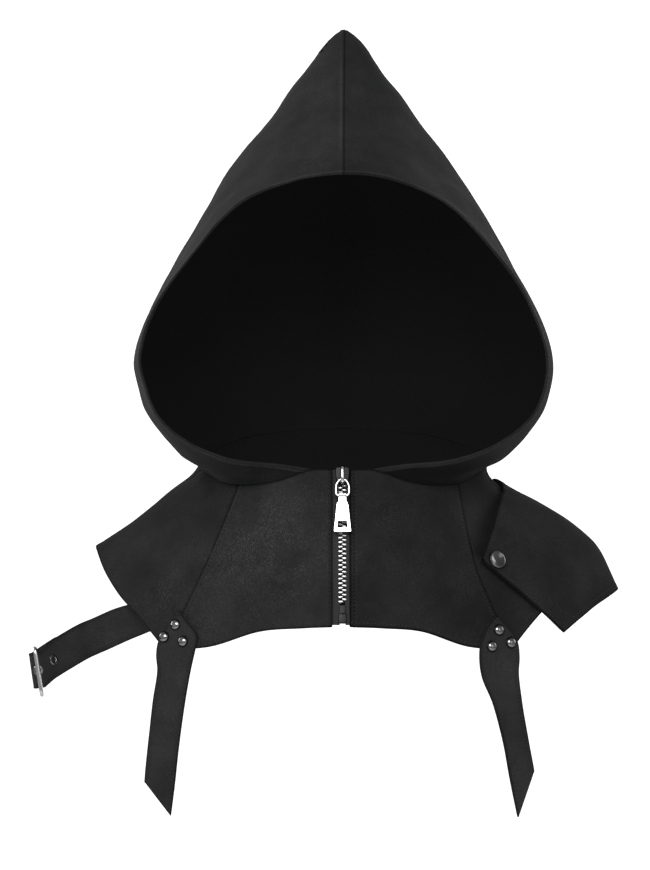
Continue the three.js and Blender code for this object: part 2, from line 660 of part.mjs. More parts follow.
function sliderBody() {
  const middle = (SLIDER_TOP + SLIDER_FOOT) / 2;
  const shield = outlineShape([
    [-SLIDER_HALF + SLIDER_CORNER, SLIDER_TOP], [SLIDER_HALF - SLIDER_CORNER, SLIDER_TOP],
    [SLIDER_HALF, SLIDER_TOP - SLIDER_CORNER], [SLIDER_HALF, middle],
    [SLIDER_FOOT_HALF, SLIDER_FOOT], [-SLIDER_FOOT_HALF, SLIDER_FOOT],
    [-SLIDER_HALF, middle], [-SLIDER_HALF, SLIDER_TOP - SLIDER_CORNER],
  ]);
  const depth = SLIDER_PLATE_BACK - SLIDER_FACE;
  const front = plate(shield, depth, 0.6).translate(0, (SLIDER_PLATE_BACK + SLIDER_FACE) / 2, 0);
  const coreDepth = SLIDER_BACK - SLIDER_PLATE_BACK + 1;
  const core = new THREE.BoxGeometry(2 * SLIDER_CORE, coreDepth, SLIDER_TOP - SLIDER_FOOT - 1);
  core.translate(0, SLIDER_BACK - coreDepth / 2, (SLIDER_TOP + SLIDER_FOOT - 1) / 2);
  const root = SLIDER_FACE + 0.4;
  const crown = outlineShape([
    [root, CROWN_TOP], [CROWN_FACE + 0.8, CROWN_TOP - 0.6], [CROWN_FACE, CROWN_TOP - 2],
    [CROWN_FACE, CROWN_FOOT + 1], [CROWN_FACE + 0.8, CROWN_FOOT], [root, CROWN_FOOT],
  ]);
  const bridge = new THREE.ExtrudeGeometry(crown, { depth: CROWN_WIDTH, bevelEnabled: false });
  bridge.translate(0, 0, -CROWN_WIDTH / 2).applyMatrix4(new THREE.Matrix4().makeBasis(
    vec(0, 1, 0), vec(0, 0, 1), vec(1, 0, 0)));
  const slot = new THREE.CylinderGeometry(CROWN_SLOT, CROWN_SLOT, 20, 10).rotateZ(Math.PI / 2);
  slot.translate(0, BAIL_PLANE, BAIL_TOP);
  return cutAll(joinAll([front, core, bridge]), [slot]);
}

function bailBody() {
  const half = BAIL_WIRE / 2;
  const outline = (grow) => [
    [-BAIL_TOP_HALF - grow * 0.5, BAIL_TOP + grow], [BAIL_TOP_HALF + grow * 0.5, BAIL_TOP + grow],
    [BAIL_HALF + grow, BAIL_SHOULDER + grow * 0.5], [BAIL_HALF + grow, BAIL_FOOT - grow],
    [-BAIL_HALF - grow, BAIL_FOOT - grow], [-BAIL_HALF - grow, BAIL_SHOULDER + grow * 0.5],
  ];
  const ring = outlineShape(outline(half).reverse());
  ring.holes.push(outlineShape(outline(-half).reverse()));
  return plate(ring, BAIL_WIRE, 0.4).translate(0, BAIL_PLANE, 0);
}

function tabBody() {
  const top = BAIL_FOOT;
  const foot = top + BARREL_RADIUS - TAB_LENGTH;
  const blade = outlineShape([
    [-TAB_NECK, top - 1], [TAB_NECK, top - 1], [TAB_NECK, top - 4.6], [TAB_SHOULDER, top - 7.2],
    [TAB_FOOT, foot + 0.6], [TAB_FOOT - 0.5, foot], [0.5 - TAB_FOOT, foot], [-TAB_FOOT, foot + 0.6],
    [-TAB_SHOULDER, top - 7.2], [-TAB_NECK, top - 4.6],
  ]);
  blade.holes.push(new THREE.Path([[-3.8, foot + 3.4], [3.8, foot + 3.4], [3.4, foot + 8.5], [-3.4, foot + 8.5]]
    .map(([x, z]) => new THREE.Vector2(x, z))));
  const flat = plate(blade, TAB_THICK, 0.35).translate(0, BAIL_PLANE, 0);
  const barrel = new THREE.CylinderGeometry(BARREL_RADIUS, BARREL_RADIUS, 2 * TAB_NECK, 14).rotateZ(Math.PI / 2);
  barrel.translate(0, BAIL_PLANE, top);
  const hole = new THREE.CylinderGeometry(BARREL_HOLE, BARREL_HOLE, 8, 12).rotateZ(Math.PI / 2);
  hole.translate(0, BAIL_PLANE, top);
  return cutAll(joinAll([flat, barrel]), [hole]);
}

// Buckle strap and buckle

// Unit directions of the folded end: onward along the strap, and out of its face.
const onward = STRAP_END_HEADING.clone().addScaledVector(HEEL_AXIS, -STRAP_END_HEADING.dot(HEEL_AXIS)).normalize();
const faceOut = HEEL_AXIS.clone().cross(onward).normalize();

function strapRows() {
  const root = BUCKLE_STRAP_ROOT.map(({ top, bottom }) => {
    const under = ([x, z]) => overYoke(-1, x, z, -(CLOTH + SEAM_GAP + WEBBING / 2 + 0.3));
    return { top: under(top), bottom: under(bottom) };
  });
  const free = BUCKLE_STRAP_ROWS.map(({ top, bottom }) => ({ top: fromRow(top), bottom: fromRow(bottom) }));
  const rows = [...root, ...free].map(({ top, bottom }) => (
    { centre: top.clone().lerp(bottom, 0.5), across: bottom.clone().sub(top).normalize() }));
  rows.push({ centre: HEEL.clone().addScaledVector(faceOut, FOLD_RADIUS), across: HEEL_AXIS.clone() });
  return rows;
}

// The strap's free stretch up to the fold.
function strapFront() {
  const rows = strapRows();
  const centres = new THREE.CatmullRomCurve3(rows.map((row) => row.centre), false, 'centripetal');
  const acrosses = rowCurve(rows.map((row) => row.across));
  return Array.from({ length: STRAP_STEPS + 1 }, (_, k) => {
    const place = centres.getUtoTmapping(k / STRAP_STEPS);
    const across = acrosses(place * (rows.length - 1)).normalize();
    const tangent = k === STRAP_STEPS ? onward.clone() : centres.getTangent(place);
    return { centre: centres.getPoint(place), across, normal: across.clone().cross(tangent).normalize() };
  });
}

function buckleStrapSections() {
  const front = strapFront();
  const fold = Array.from({ length: FOLD_STEPS }, (_, k) => {
    const angle = (Math.PI * (k + 1)) / FOLD_STEPS;
    const normal = faceOut.clone().multiplyScalar(Math.cos(angle)).addScaledVector(onward, Math.sin(angle));
    return { centre: HEEL.clone().addScaledVector(normal, FOLD_RADIUS), across: HEEL_AXIS.clone(), normal };
  });
  const back = RETURN_GAPS.map((gap, k) => {
    const beside = front[STRAP_STEPS - 1 - k];
    return {
      centre: beside.centre.clone().addScaledVector(beside.normal, -gap),
      across: beside.across.clone(),
      normal: beside.normal.clone().negate(),
    };
  });
  return [...front, ...fold, ...back];
}

// Where the strap's eyelet sits: midway between the strap and its turned-back end.
function eyeletSeat() {
  const front = strapFront();
  const place = STRAP_STEPS - EYELET_STEP;
  const k = Math.floor(place);
  const centre = front[k].centre.clone().lerp(front[k + 1].centre, place - k);
  const normal = front[k].normal.clone().lerp(front[k + 1].normal, place - k).normalize();
  const gap = RETURN_GAPS[1];
  return { point: centre.addScaledVector(normal, -gap / 2), normal, half: (gap + WEBBING) / 2 + EYELET_CLEARANCE };
}

const strapEyelet = eyeletSeat();
const frameHeading = FRAME_HEADING.clone().addScaledVector(HEEL_AXIS, -FRAME_HEADING.dot(HEEL_AXIS)).normalize();

function buckleStrapBody() {
  const columns = 2;
  const sections = buckleStrapSections();
  const layer = (lift) => sections.map((section) =>
    Array.from({ length: columns + 1 }, (_, j) => {
      const across = ((j / columns) * 2 - 1) * BUCKLE_STRAP_HALF;
      return section.centre.clone().addScaledVector(section.across, across).addScaledVector(section.normal, lift);
    }));
  const barrelHole = alongHeading(postHole(EYELET_BARREL + SEAM_GAP), strapEyelet.point, strapEyelet.normal);
  const prongHole = new THREE.CylinderGeometry(PRONG_HOLE, PRONG_HOLE, 6, 10);
  const foldWall = HEEL.clone().addScaledVector(frameHeading, FOLD_RADIUS);
  return cutAll(wall(layer(WEBBING / 2), layer(-WEBBING / 2)), [
    barrelHole,
    alongHeading(prongHole, foldWall, frameHeading),
  ]);
}

function strapEyeletBody() {
  const inside = strapEyelet.half;
  const outside = inside + FLANGE;
  const profile = [
    [EYELET_HOLE, -outside], [EYELET_RADIUS, -outside], [EYELET_RADIUS, -inside], [EYELET_BARREL, -inside],
    [EYELET_BARREL, inside], [EYELET_RADIUS, inside], [EYELET_RADIUS, outside], [EYELET_HOLE, outside],
    [EYELET_HOLE, -outside],
  ].map(([x, y]) => new THREE.Vector2(x, y));
  return alongHeading(new THREE.LatheGeometry(profile, 12), strapEyelet.point, strapEyelet.normal);
}

// A washer bent round the fold, where the prong comes through it.
function foldEyeletBody() {
  const sides = 18;
  const foot = FOLD_RADIUS + WEBBING / 2 + SEAM_GAP;
  const across = HEEL_AXIS.clone().cross(frameHeading);
  const node = (radius, turn, lift) => {
    const around = (radius * Math.cos(turn)) / foot;
    return HEEL.clone()
      .addScaledVector(frameHeading, (foot + lift) * Math.cos(around))
      .addScaledVector(across, (foot + lift) * Math.sin(around))
      .addScaledVector(HEEL_AXIS, radius * Math.sin(turn));
  };
  const middle = (EYELET_HOLE + EYELET_RADIUS) / 2;
  const profile = [[EYELET_HOLE, 0], [middle, 0], [EYELET_RADIUS, 0], [EYELET_RADIUS, FLANGE], [middle, FLANGE],
    [EYELET_HOLE, FLANGE]];
  const points = [];
  const faces = [];
  for (let i = 0; i < sides; i += 1) {
    profile.forEach(([radius, lift], k) => {
      points.push(node(radius, (i / sides) * 2 * Math.PI, lift));
      const next = ((i + 1) % sides) * profile.length;
      const here = i * profile.length;
      const beside = (k + 1) % profile.length;
      faces.push([here + k, here + beside, next + beside], [here + k, next + beside, next + k]);
    });
  }
  return closedBody(points, faces);
}

function prongBody() {
  const [inner, outer] = PRONG_RING;
  const half = PRONG_RING_HALF;
  const profile = [[inner, -half], [outer, -half], [outer, half], [inner, half], [inner, -half]]
    .map(([x, y]) => new THREE.Vector2(x, y));
  const ring = alongHeading(new THREE.LatheGeometry(profile, 14), HEEL, HEEL_AXIS);
  const from = (inner + outer) / 2;
  const rod = new THREE.CylinderGeometry(PRONG_RADIUS, PRONG_RADIUS, PRONG_REACH - from, 10);
  const middle = HEEL.clone().addScaledVector(frameHeading, (PRONG_REACH + from) / 2);
  return joinAll([ring, alongHeading(rod, middle, frameHeading)]);
}

function buckleFrameBody() {
  const half = FRAME_LENGTH / 2;
  const wire = FRAME_WIRE;
  const near = -wire / 2;
  const far = FRAME_DEPTH + wire / 2;
  const ring = (x0, x1, y0, y1, c) => [
    [x0 + c, y0], [x1 - c, y0], [x1, y0 + c], [x1, y1 - c], [x1 - c, y1], [x0 + c, y1], [x0, y1 - c], [x0, y0 + c],
  ];
  const shape = outlineShape(ring(-half, half, near, far, FRAME_CHAMFER));
  const hole = ring(-half + wire, half - wire, near + wire, far - wire, FRAME_CHAMFER * 0.45);
  shape.holes.push(new THREE.Path(hole.map(([x, y]) => new THREE.Vector2(x, y))));
  const body = new THREE.ExtrudeGeometry(shape, {
    depth: wire - 2 * FRAME_BEVEL,
    bevelEnabled: true,
    bevelThickness: FRAME_BEVEL,
    bevelSize: FRAME_BEVEL,
    bevelOffset: -FRAME_BEVEL,
    bevelSegments: 1,
  });
  body.translate(0, 0, FRAME_BEVEL - wire / 2);
  const normal = HEEL_AXIS.clone().cross(frameHeading);
  const basis = new THREE.Matrix4().makeBasis(HEEL_AXIS, frameHeading, normal).setPosition(HEEL);
  return body.applyMatrix4(basis);
}

const black = (name) => new THREE.MeshStandardMaterial({ name, color: 0x1b1b1c, roughness: 0.92, metalness: 0 });
const metal = (name, color = 0xd6d8da) => new THREE.MeshStandardMaterial({ name, color, roughness: 0.18, metalness: 1 });

const suede = black('suede');
const webbing = black('webbing');
const tape = black('zip_tape');
const chrome = metal('chrome');
const steel = metal('steel', 0x9a9da0);

const hood = new THREE.Group();

function addPiece(name, geometry, material, parent = hood) {
  const mesh = new THREE.Mesh(geometry, material);
  mesh.name = name;
  parent.add(mesh);
  return mesh;
}

addPiece('hood_left', hoodPanel(-1), suede);
addPiece('hood_right', hoodPanel(1), suede);
addPiece('yoke_back', yokeBack(), suede);
const panels = [
  { name: 'left', side: -1, cutters: rivetHoles(rivetSeatsLeft) },
  { name: 'right', side: 1, cutters: [...rivetHoles(rivetSeatsRight), snapHole] },
];
for (const { name, side, cutters } of panels) {
  addPiece(`yoke_front_${name}`, cutAll(yokePanel(side, 0, PRINCESS_SPOKE), cutters), suede);
  addPiece(`yoke_shoulder_${name}`, cutAll(yokePanel(side, PRINCESS_SPOKE, RIDGE_SPOKE), cutters), suede);
}
addPiece('shoulder_flap', cutAll(flapBody(), [snapHole]), suede);
addPiece('flap_snap', snapBody(), steel);
addPiece('strap_tail_left', cutAll(tailBody(TAIL_LEFT), rivetHoles(rivetSeatsLeft)), webbing);
addPiece('strap_tail_right', cutAll(tailBody(TAIL_RIGHT), rivetHoles(rivetSeatsRight)), webbing);
rivetSeatsLeft.forEach((seat, k) => addPiece(`rivet_left_${k + 1}`, rivetBody(seat), chrome));
rivetSeatsRight.forEach((seat, k) => addPiece(`rivet_right_${k + 1}`, rivetBody(seat), chrome));
addPiece('buckle_strap', buckleStrapBody(), webbing);
addPiece('strap_eyelet', strapEyeletBody(), chrome);
addPiece('fold_eyelet', foldEyeletBody(), chrome);
addPiece('buckle_prong', prongBody(), chrome);
addPiece('buckle_frame', buckleFrameBody(), chrome);

const zip = new THREE.Group();
zip.position.copy(ZIP_TOP);
zip.rotation.x = ZIP_TILT;
hood.add(zip);
addPiece('zip_tape_left', tapeBody(-1), tape, zip);
addPiece('zip_tape_right', tapeBody(1), tape, zip);
addPiece('zip_teeth_left', teethBody(-1), chrome, zip);
addPiece('zip_teeth_right', teethBody(1), chrome, zip);
addPiece('zip_box', boxBody(), chrome, zip);
addPiece('zip_slider', sliderBody(), chrome, zip);
addPiece('zip_bail', bailBody(), chrome, zip);
addPiece('zip_tab', tabBody(), chrome, zip);

export default hood;
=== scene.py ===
import math

import bmesh
import bpy
import numpy as np
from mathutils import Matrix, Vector


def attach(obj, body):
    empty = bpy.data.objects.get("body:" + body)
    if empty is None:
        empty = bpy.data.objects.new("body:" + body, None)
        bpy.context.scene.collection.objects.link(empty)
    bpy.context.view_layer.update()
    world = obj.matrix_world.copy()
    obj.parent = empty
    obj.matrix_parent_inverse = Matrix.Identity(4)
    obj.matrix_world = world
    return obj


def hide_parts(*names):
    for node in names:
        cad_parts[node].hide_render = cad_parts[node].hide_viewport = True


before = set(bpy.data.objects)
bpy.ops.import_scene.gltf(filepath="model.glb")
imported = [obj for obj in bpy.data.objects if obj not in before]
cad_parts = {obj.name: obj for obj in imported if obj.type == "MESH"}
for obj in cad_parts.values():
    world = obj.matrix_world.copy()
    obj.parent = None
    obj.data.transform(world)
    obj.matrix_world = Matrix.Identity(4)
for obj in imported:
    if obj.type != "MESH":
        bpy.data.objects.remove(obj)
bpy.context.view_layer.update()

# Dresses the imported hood: suede cloth with hems, seams, topstitching and soft folds, and bright metal
# on the zip, rivets, snap and buckle. Lengths below are millimetres; meshes are written in metres.
MM = 0.001

# The hood's driving dimensions, as in its CAD model.
CLOTH = 2.0
WEBBING = 2.2
SEAM_HALF_GAP = 0.15
NECK_OVERLAP = 1.0
NOTCH_DEPTH = 5.0
LEFT_CHEEK = 2.6
LEFT_TIP = 1.8
TIP_ROUND = 0.28
TIP_RISE = 1.2

# The peak's outline from the front, as (height, half width).
PEAK_OUTLINE = [(292, 57.4), (308, 44.6), (324, 31.8), (334, 24.3), (342, 19.5), (349, 13.4), (354, 7.7), (357, 3.2),
                (358, 0.5)]
HOOD_SHIFT = 1.0
PEAK_LEAN = 1.2
LEAN_FROM = 230.0
LEAN_OVER = 130.0
RIGHT_INSET = 7.0
RIGHT_DROP = 10.0
PLACKET = {-1: 8.7, 1: 6.2}
TAIL_LIFT = 0.6

# Hood ribs from the neck seam up, as (rim, front, side, back seam's y and z, roundness).
HOOD_RIBS = [
    ((45, -113, 2.5), (92, -90, -5), (122.5, -8, 8), (93, 46), 0.72),
    ((91, -120, 8), (116, -84, 4), (134, -22, 15), (101, 58), 0.72),
    ((126.5, -110, 22), (139, -76, 23), (148, -30, 31), (109, 72), 0.72),
    ((152, -99, 46), (158, -70, 49), (161, -34, 52), (116, 92), 0.71),
    ((161.5, -91, 84.5), (165.5, -64, 85), (166.5, -34, 86), (121, 120), 0.70),
    ((149, -94, 127), (153.5, -60, 127.5), (154, -24, 129), (122, 157), 0.69),
    ((122, -103, 167), (127, -60, 172), (127, -8, 181), (115, 200), 0.67),
    ((81.5, -111, 209), (90, -62, 224), (89, 2, 247), (96, 247), 0.64),
    ((40, -115, 227), (46, -60, 264), (42, 8, 312), (62, 303), 0.60),
    ((20, -116, 231), (25, -56, 281), (19, 8, 343), (29, 346), 0.60),
    ((9, -116, 231.8), (12, -50, 292), (9.5, 10, 353), (20, 355.5), 0.60),
    ((0, -116, 232), (0, -84, 263), (0, -38, 308), (12, 358), 0.50),
]

# Yoke spokes from the zip round the viewer's right side to the middle of the back, as (neck, mid, edge).
YOKE_SPOKES = [
    ((0, -104, 0), (0, -116.2, -60.5), (0, -128.5, -121)),
    ((26, -104, -0.5), (28, -116.5, -61), (31, -127.5, -122)),
    ((50, -97.5, -8.5), (56, -111.5, -66), (64, -122, -124.8)),
    ((67, -89, -11.5), (83, -103, -73), (104, -108, -137.5)),
    ((82, -78, -12), (107, -91, -73), (140, -90, -141)),
    ((98, -60, -10), (125, -78, -68), (156, -78, -122)),
    ((110, -40, -6.5), (139, -60, -58), (174, -60, -102)),
    ((118, -18, -2), (149, -37, -44), (188.5, -36, -82)),
    ((121, 5, -1), (157, -8, -33), (199, -4, -60)),
    ((118, 27, 7), (155, 20, -34), (190, 26, -76)),
    ((105, 46, 17), (140, 50, -38), (174, 52, -100)),
    ((82, 66, 25), (112, 78, -44), (148, 76, -132)),
    ((45, 80, 31), (60, 98, -42), (78, 100, -124)),
    ((0, 84, 33), (0, 105, -40), (0, 110, -118)),
]
HOOD_CORNER_SPOKE = 1
PRINCESS_SPOKE = 4
RIDGE_SPOKE = 8
LAST_SPOKE = len(YOKE_SPOKES) - 1
HEM_CORNERS = (0, PRINCESS_SPOKE, RIDGE_SPOKE, 11, LAST_SPOKE)

# Shoulder flap rows from its inner edge out, as (front, fore, ridge, aft, back).
FLAP_ROWS = [
    ((110.4, -93, -70.5), (124.5, -57, -33), (132.5, 3, -14), (124.5, 45, -10.6), (113, 82, -44)),
    ((127, -88, -84.5), (146, -54, -46.5), (157, 1, -25.5), (147, 45.5, -31), (128, 82, -61)),
    ((143, -82.5, -98), (164, -49, -65.5), (182, 0, -41), (165, 48, -59), (144, 80, -80)),
    ((159.5, -74.5, -112.5), (188, -40, -79), (205.5, -2, -61), (185, 45, -85), (161, 73, -103)),
    ((176.6, -63, -129), (201, -32, -112), (223.5, 0, -97.5), (202, 34, -112), (177, 62, -127)),
]

# Strap tails, as rows of (outer edge, inner edge): [x, z] on the yoke, then [x, y, z] where it hangs.
TAILS = {
    -1: (
        [((-127.8, -112.5), (-126.6, -112.5)), ((-134.5, -121.5), (-120.5, -120.5)),
         ((-143.2, -134.5), (-113.3, -130.5)), ((-145.2, -146), (-115, -141))],
        [((-145.4, -95, -158), (-120, -103, -158)), ((-148.6, -98, -182), (-124, -104, -182)),
         ((-152, -100, -214), (-128.6, -104, -216)), ((-154.6, -99, -238), (-132, -102, -246)),
         ((-155.4, -98, -245), (-135, -100, -271))],
    ),
    1: (
        [((120.6, -116.2), (119.4, -116.2)), ((128.5, -125), (113.8, -123)),
         ((136.5, -135.5), (108.4, -134)), ((138, -147.5), (107, -147))],
        [((138.4, -97, -160), (110, -105, -162)), ((141, -99, -182), (118.4, -107, -182)),
         ((146, -97, -212), (126.4, -110, -212)), ((150.4, -95, -234), (131.8, -110, -240)),
         ((151, -94.6, -237), (138, -108, -271))],
    ),
}

RIVETS = {
    -1: ((-130, -122.3), (-139.2, -132), (-124, -135)),
    1: ((121.8, -126.3), (116, -138.8), (131.4, -136.4)),
}
RIVET_RADIUS = 4.6
RIVET_DOME = 2.2

# Buckle strap, as rows of (top edge, bottom edge); the first two lie on the shoulder panel's back.
BUCKLE_STRAP_ROOT = [((-154, -97), (-141, -121)), ((-163, -101.5), (-146, -127))]
BUCKLE_STRAP_ROWS = [
    ((-172.5, -55, -106.5), (-155, -64, -132)),
    ((-183.4, -51, -111), (-169, -56, -137)),
    ((-199, -50.5, -118.6), (-184.5, -52, -143.5)),
    ((-212, -56, -124.8), (-202.5, -57, -150.5)),
    ((-228, -70, -134.6), (-219.5, -70.5, -158.8)),
]
HEEL = np.array((-239, -95, -157.4))
HEEL_AXIS = np.array((0.148, 0, -0.989)) / np.linalg.norm((0.148, 0, -0.989))
STRAP_END_HEADING = np.array((-0.656, -0.755, 0))
FRAME_HEADING = np.array((0.087, -0.994, 0.02))
BUCKLE_STRAP_HALF = 13.4
FOLD_RADIUS = 4.5
RETURN_GAPS = (6, 3.3, 2.9, 2.9)
STRAP_STEPS = 16
EYELET_STEP = 2.3
EYELET_HOLE = 1.9
EYELET_RADIUS = 4.1
FRAME_HALF = 18.5
FRAME_DEPTH = 24.0

# Zip, in its own frame: -Z down the chain, -Y out of the chest.
ZIP_TOP = np.array((0, -104, 0))
ZIP_FOOT = np.array((0, -128.5, -121))
TAPE_BACK = CLOTH + 0.8
TEETH_PLANE = TAPE_BACK + 0.4
TOOTH_PITCH = 3.6
BAIL_TOP = -8.4
BAIL_FOOT = -20.8
BAIL_PLANE = -4.75
TAB_LENGTH = 29.3

STITCH_PITCH = 3.0
STITCH_LENGTH = 2.3
STITCH_RADIUS = 0.34
STITCH_SINK = 0.4
STITCH_SHADE = 0.4
# An edge that stands out less than this lies in a seam.
SEAM_BULGE = 0.3
SHARP_ANGLE = math.radians(32)
FLECKS = 0.3
BUCKLE_STRAP_FLECKS = 0.45
RIM_CREASES = (2.9, 4.6)
FLAP_REACH = 1.5
# The seam between the right front and shoulder panels leans from the CAD seam near the neck.
RIGHT_SEAM_LEAN = 0.62
SIDES = (("left", -1), ("right", 1))


# Small mathematics

def unit(v):
    v = np.asarray(v, float)
    return v / np.maximum(np.linalg.norm(v, axis=-1, keepdims=True), 1e-9)


def lerp(a, b, t):
    return a + (b - a) * t


def smooth(a, b, x):
    t = np.clip((x - a) / (b - a), 0, 1)
    return t * t * (3 - 2 * t)


def dent(distance, width):
    return np.exp(-((distance / width) ** 2))


def rail(points, places):
    """Centripetal Catmull-Rom curve through points, read at places counted in points.

    points may be rows of many curves side by side, as (count, curves, 3)."""
    p = np.asarray(points, float)
    last = len(p) - 1
    places = np.clip(np.atleast_1d(np.asarray(places, float)), 0, last)
    i = np.minimum(places.astype(int), last - 1)
    w = (places - i).reshape((-1,) + (1,) * (p.ndim - 1))
    ends = np.concatenate([[2 * p[0] - p[1]], p, [2 * p[-1] - p[-2]]])
    p0, p1, p2, p3 = (ends[i + k] for k in range(4))

    def step(a, b):
        return np.sqrt(np.linalg.norm(b - a, axis=-1, keepdims=True))

    d1 = step(p1, p2)
    d1 = np.where(d1 < 1e-4, 1.0, d1)
    d0 = step(p0, p1)
    d0 = np.where(d0 < 1e-4, d1, d0)
    d2 = step(p2, p3)
    d2 = np.where(d2 < 1e-4, d1, d2)
    t1 = ((p1 - p0) / d0 - (p2 - p0) / (d0 + d1) + (p2 - p1) / d1) * d1
    t2 = ((p2 - p1) / d1 - (p3 - p1) / (d1 + d2) + (p3 - p2) / d2) * d1
    return p1 + w * (t1 + w * (-3 * p1 + 3 * p2 - 2 * t1 - t2 + w * (2 * p1 - 2 * p2 + t1 + t2)))


def walk(points):
    """Length along a polyline to each of its points."""
    steps = np.linalg.norm(np.diff(points, axis=0), axis=-1)
    return np.concatenate([[0], np.cumsum(steps)])


def spaced(points, shares, divisions=200):
    """Points of the curve through points at shares of its length."""
    places = np.linspace(0, len(points) - 1, divisions + 1)
    length = walk(rail(points, places))
    return rail(points, np.interp(np.asarray(shares) * length[-1], length, places))


def ripple(points, wave, seed, count=7):
    """Smooth irregular field from -1 to 1 with about that wavelength, the same on each run."""
    random = np.random.default_rng(seed)
    field = np.zeros(points.shape[:-1])
    for _ in range(count):
        heading = unit(random.normal(size=3)) * 2 * math.pi / (wave * random.uniform(0.7, 1.5))
        field += np.sin(points @ heading + random.uniform(0, 6.28))
    return field / math.sqrt(count) / 1.4


def fold(points, start, end, width, taper=0.25):
    """Ridge along a line in the front view from start to end, both (x, z)."""
    a = np.asarray(start, float)
    along = np.asarray(end, float) - a
    flat = points[..., [0, 2]] - a
    share = np.clip((flat @ along) / (along @ along), 0, 1)
    distance = np.linalg.norm(flat - share[..., None] * along, axis=-1)
    return dent(distance, width) * smooth(0, taper, share) * smooth(1, 1 - taper, share)


def graded(edges, middle):
    """Shares from 0 to 1, fine near both ends: edges are (share, count) at each end."""
    (first, first_count), (last, last_count) = edges
    return np.concatenate([
        np.linspace(0, first, first_count, endpoint=False),
        np.linspace(first, 1 - last, middle, endpoint=False),
        np.linspace(1 - last, 1, last_count + 1),
    ])


# Meshes

def link(name, data):
    """An object in the scene with that data."""
    made = bpy.data.objects.new(name, data)
    bpy.context.scene.collection.objects.link(made)
    return made


def new_piece(name, points, faces, materials, face_materials=None, body="hood_body", nodes=(),
              fields=None):
    """A smooth mesh piece from points in millimetres, riding on a body and standing for CAD nodes."""
    mesh = bpy.data.meshes.new(name)
    mesh.from_pydata((np.asarray(points) * MM).tolist(), [], faces)
    for material in materials:
        mesh.materials.append(material)
    if face_materials is not None:
        mesh.polygons.foreach_set("material_index", np.asarray(face_materials, np.int32))
    for field, values in (fields or {}).items():
        mesh.attributes.new(field, "FLOAT", "POINT").data.foreach_set("value", values)
    mesh.shade_smooth()
    mesh.update()
    piece = link(name, mesh)
    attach(piece, body)
    if nodes:
        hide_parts(*nodes)
    return piece


def grid_normals(grid):
    return unit(np.cross(np.gradient(grid, axis=0), np.gradient(grid, axis=1)))


def quads(index):
    """Quads of a 2-D array of point numbers."""
    return np.stack([index[:-1, :-1], index[:-1, 1:], index[1:, 1:], index[1:, :-1]], -1).reshape(-1, 4)


def looped(rows, columns):
    """Point numbers of rows that close on themselves, with the first column again at the end."""
    index = np.arange(rows * columns).reshape(rows, columns)
    return np.concatenate([index, index[:, :1]], axis=1)


def shell(outer, inner, bulges, rings=3):
    """Closed cloth wall between two grids, with rounded edges. Returns its points, faces, sides and rim.

    bulges is how far the edge stands out on the first row, last column, last row and first column. An edge that
    hardly stands out lies in a seam and takes the inside's material."""
    rows, columns = outer.shape[:2]
    index = np.arange(rows * columns).reshape(rows, columns)
    ring = np.concatenate([index[0, :-1], index[:-1, -1], index[-1, :0:-1], index[:0:-1, 0]])
    inward = index[np.clip(np.arange(rows), 1, rows - 2)][:, np.clip(np.arange(columns), 1, columns - 2)]
    flat_outer = outer.reshape(-1, 3)
    flat_inner = inner.reshape(-1, 3)
    start, finish = flat_outer[ring], flat_inner[ring]
    middle, half = (start + finish) / 2, (start - finish) / 2
    out = start - flat_outer[inward.reshape(-1)[ring]]
    out -= unit(half) * (out * unit(half)).sum(-1, keepdims=True)
    bulge = np.repeat(bulges, [columns - 1, rows - 1] * 2)[:, None]
    points = [flat_outer, flat_inner]
    loops = [ring]
    total = rows * columns
    for k in range(rings):
        angle = math.pi * (k + 1) / (rings + 1)
        points.append(middle + half * math.cos(angle) + unit(out) * bulge * math.sin(angle))
        loops.append(2 * total + k * len(ring) + np.arange(len(ring)))
    loops.append(ring + total)
    rim = np.array([[*loop, loop[0]] for loop in loops])
    faces = [quads(index), quads(index)[:, ::-1] + total, quads(rim)[:, ::-1]]
    count = [len(f) for f in faces]
    faces = np.concatenate(faces)
    points = np.concatenate(points)
    a, b, c = points[faces[:, :3]].swapaxes(0, 1)
    if (a * np.cross(b, c)).sum() < 0:
        faces = faces[:, ::-1]
    in_seam = np.tile(bulge[:, 0] < SEAM_BULGE, rings + 1)
    sides = np.concatenate([np.zeros(count[0], int), np.ones(count[1], int), in_seam.astype(int)])
    return points, faces.tolist(), sides, ring


def turned(grid, side):
    """The grid seen with the named side as its first column."""
    if side == "last_column":
        return grid[:, ::-1]
    if side == "first_row":
        return grid.swapaxes(0, 1)
    if side == "last_row":
        return grid[::-1].swapaxes(0, 1)
    return grid


def from_edge(grid, side):
    """Distance of each point of a grid from one of its sides."""
    view = turned(grid, side)
    steps = np.linalg.norm(np.diff(view, axis=1), axis=-1)
    length = np.concatenate([np.zeros((len(view), 1)), np.cumsum(steps, axis=1)], axis=1)
    back = np.empty(grid.shape[:2])
    turned(back, side)[:] = length
    return back


def line_inside(outer, normals, side, distance, start=0.0, end=1.0):
    """Points and normals of a line at a distance from one side of a grid."""
    view, turned_normals = turned(outer, side), turned(normals, side)
    length = turned(from_edge(outer, side), side)
    reach = np.minimum(distance, length[:, -1] * 0.98)
    rows = np.arange(len(view))
    k = np.array([np.searchsorted(length[i], reach[i]) for i in rows]).clip(1, view.shape[1] - 1)
    t = ((reach - length[rows, k - 1]) / (length[rows, k] - length[rows, k - 1] + 1e-9))[:, None]
    points = lerp(view[rows, k - 1], view[rows, k], t)
    line_normals = unit(lerp(turned_normals[rows, k - 1], turned_normals[rows, k], t))
    keep = slice(int(start * len(rows)), max(int(end * len(rows)), 2))
    return points[keep], line_normals[keep]


stitch_lines = []


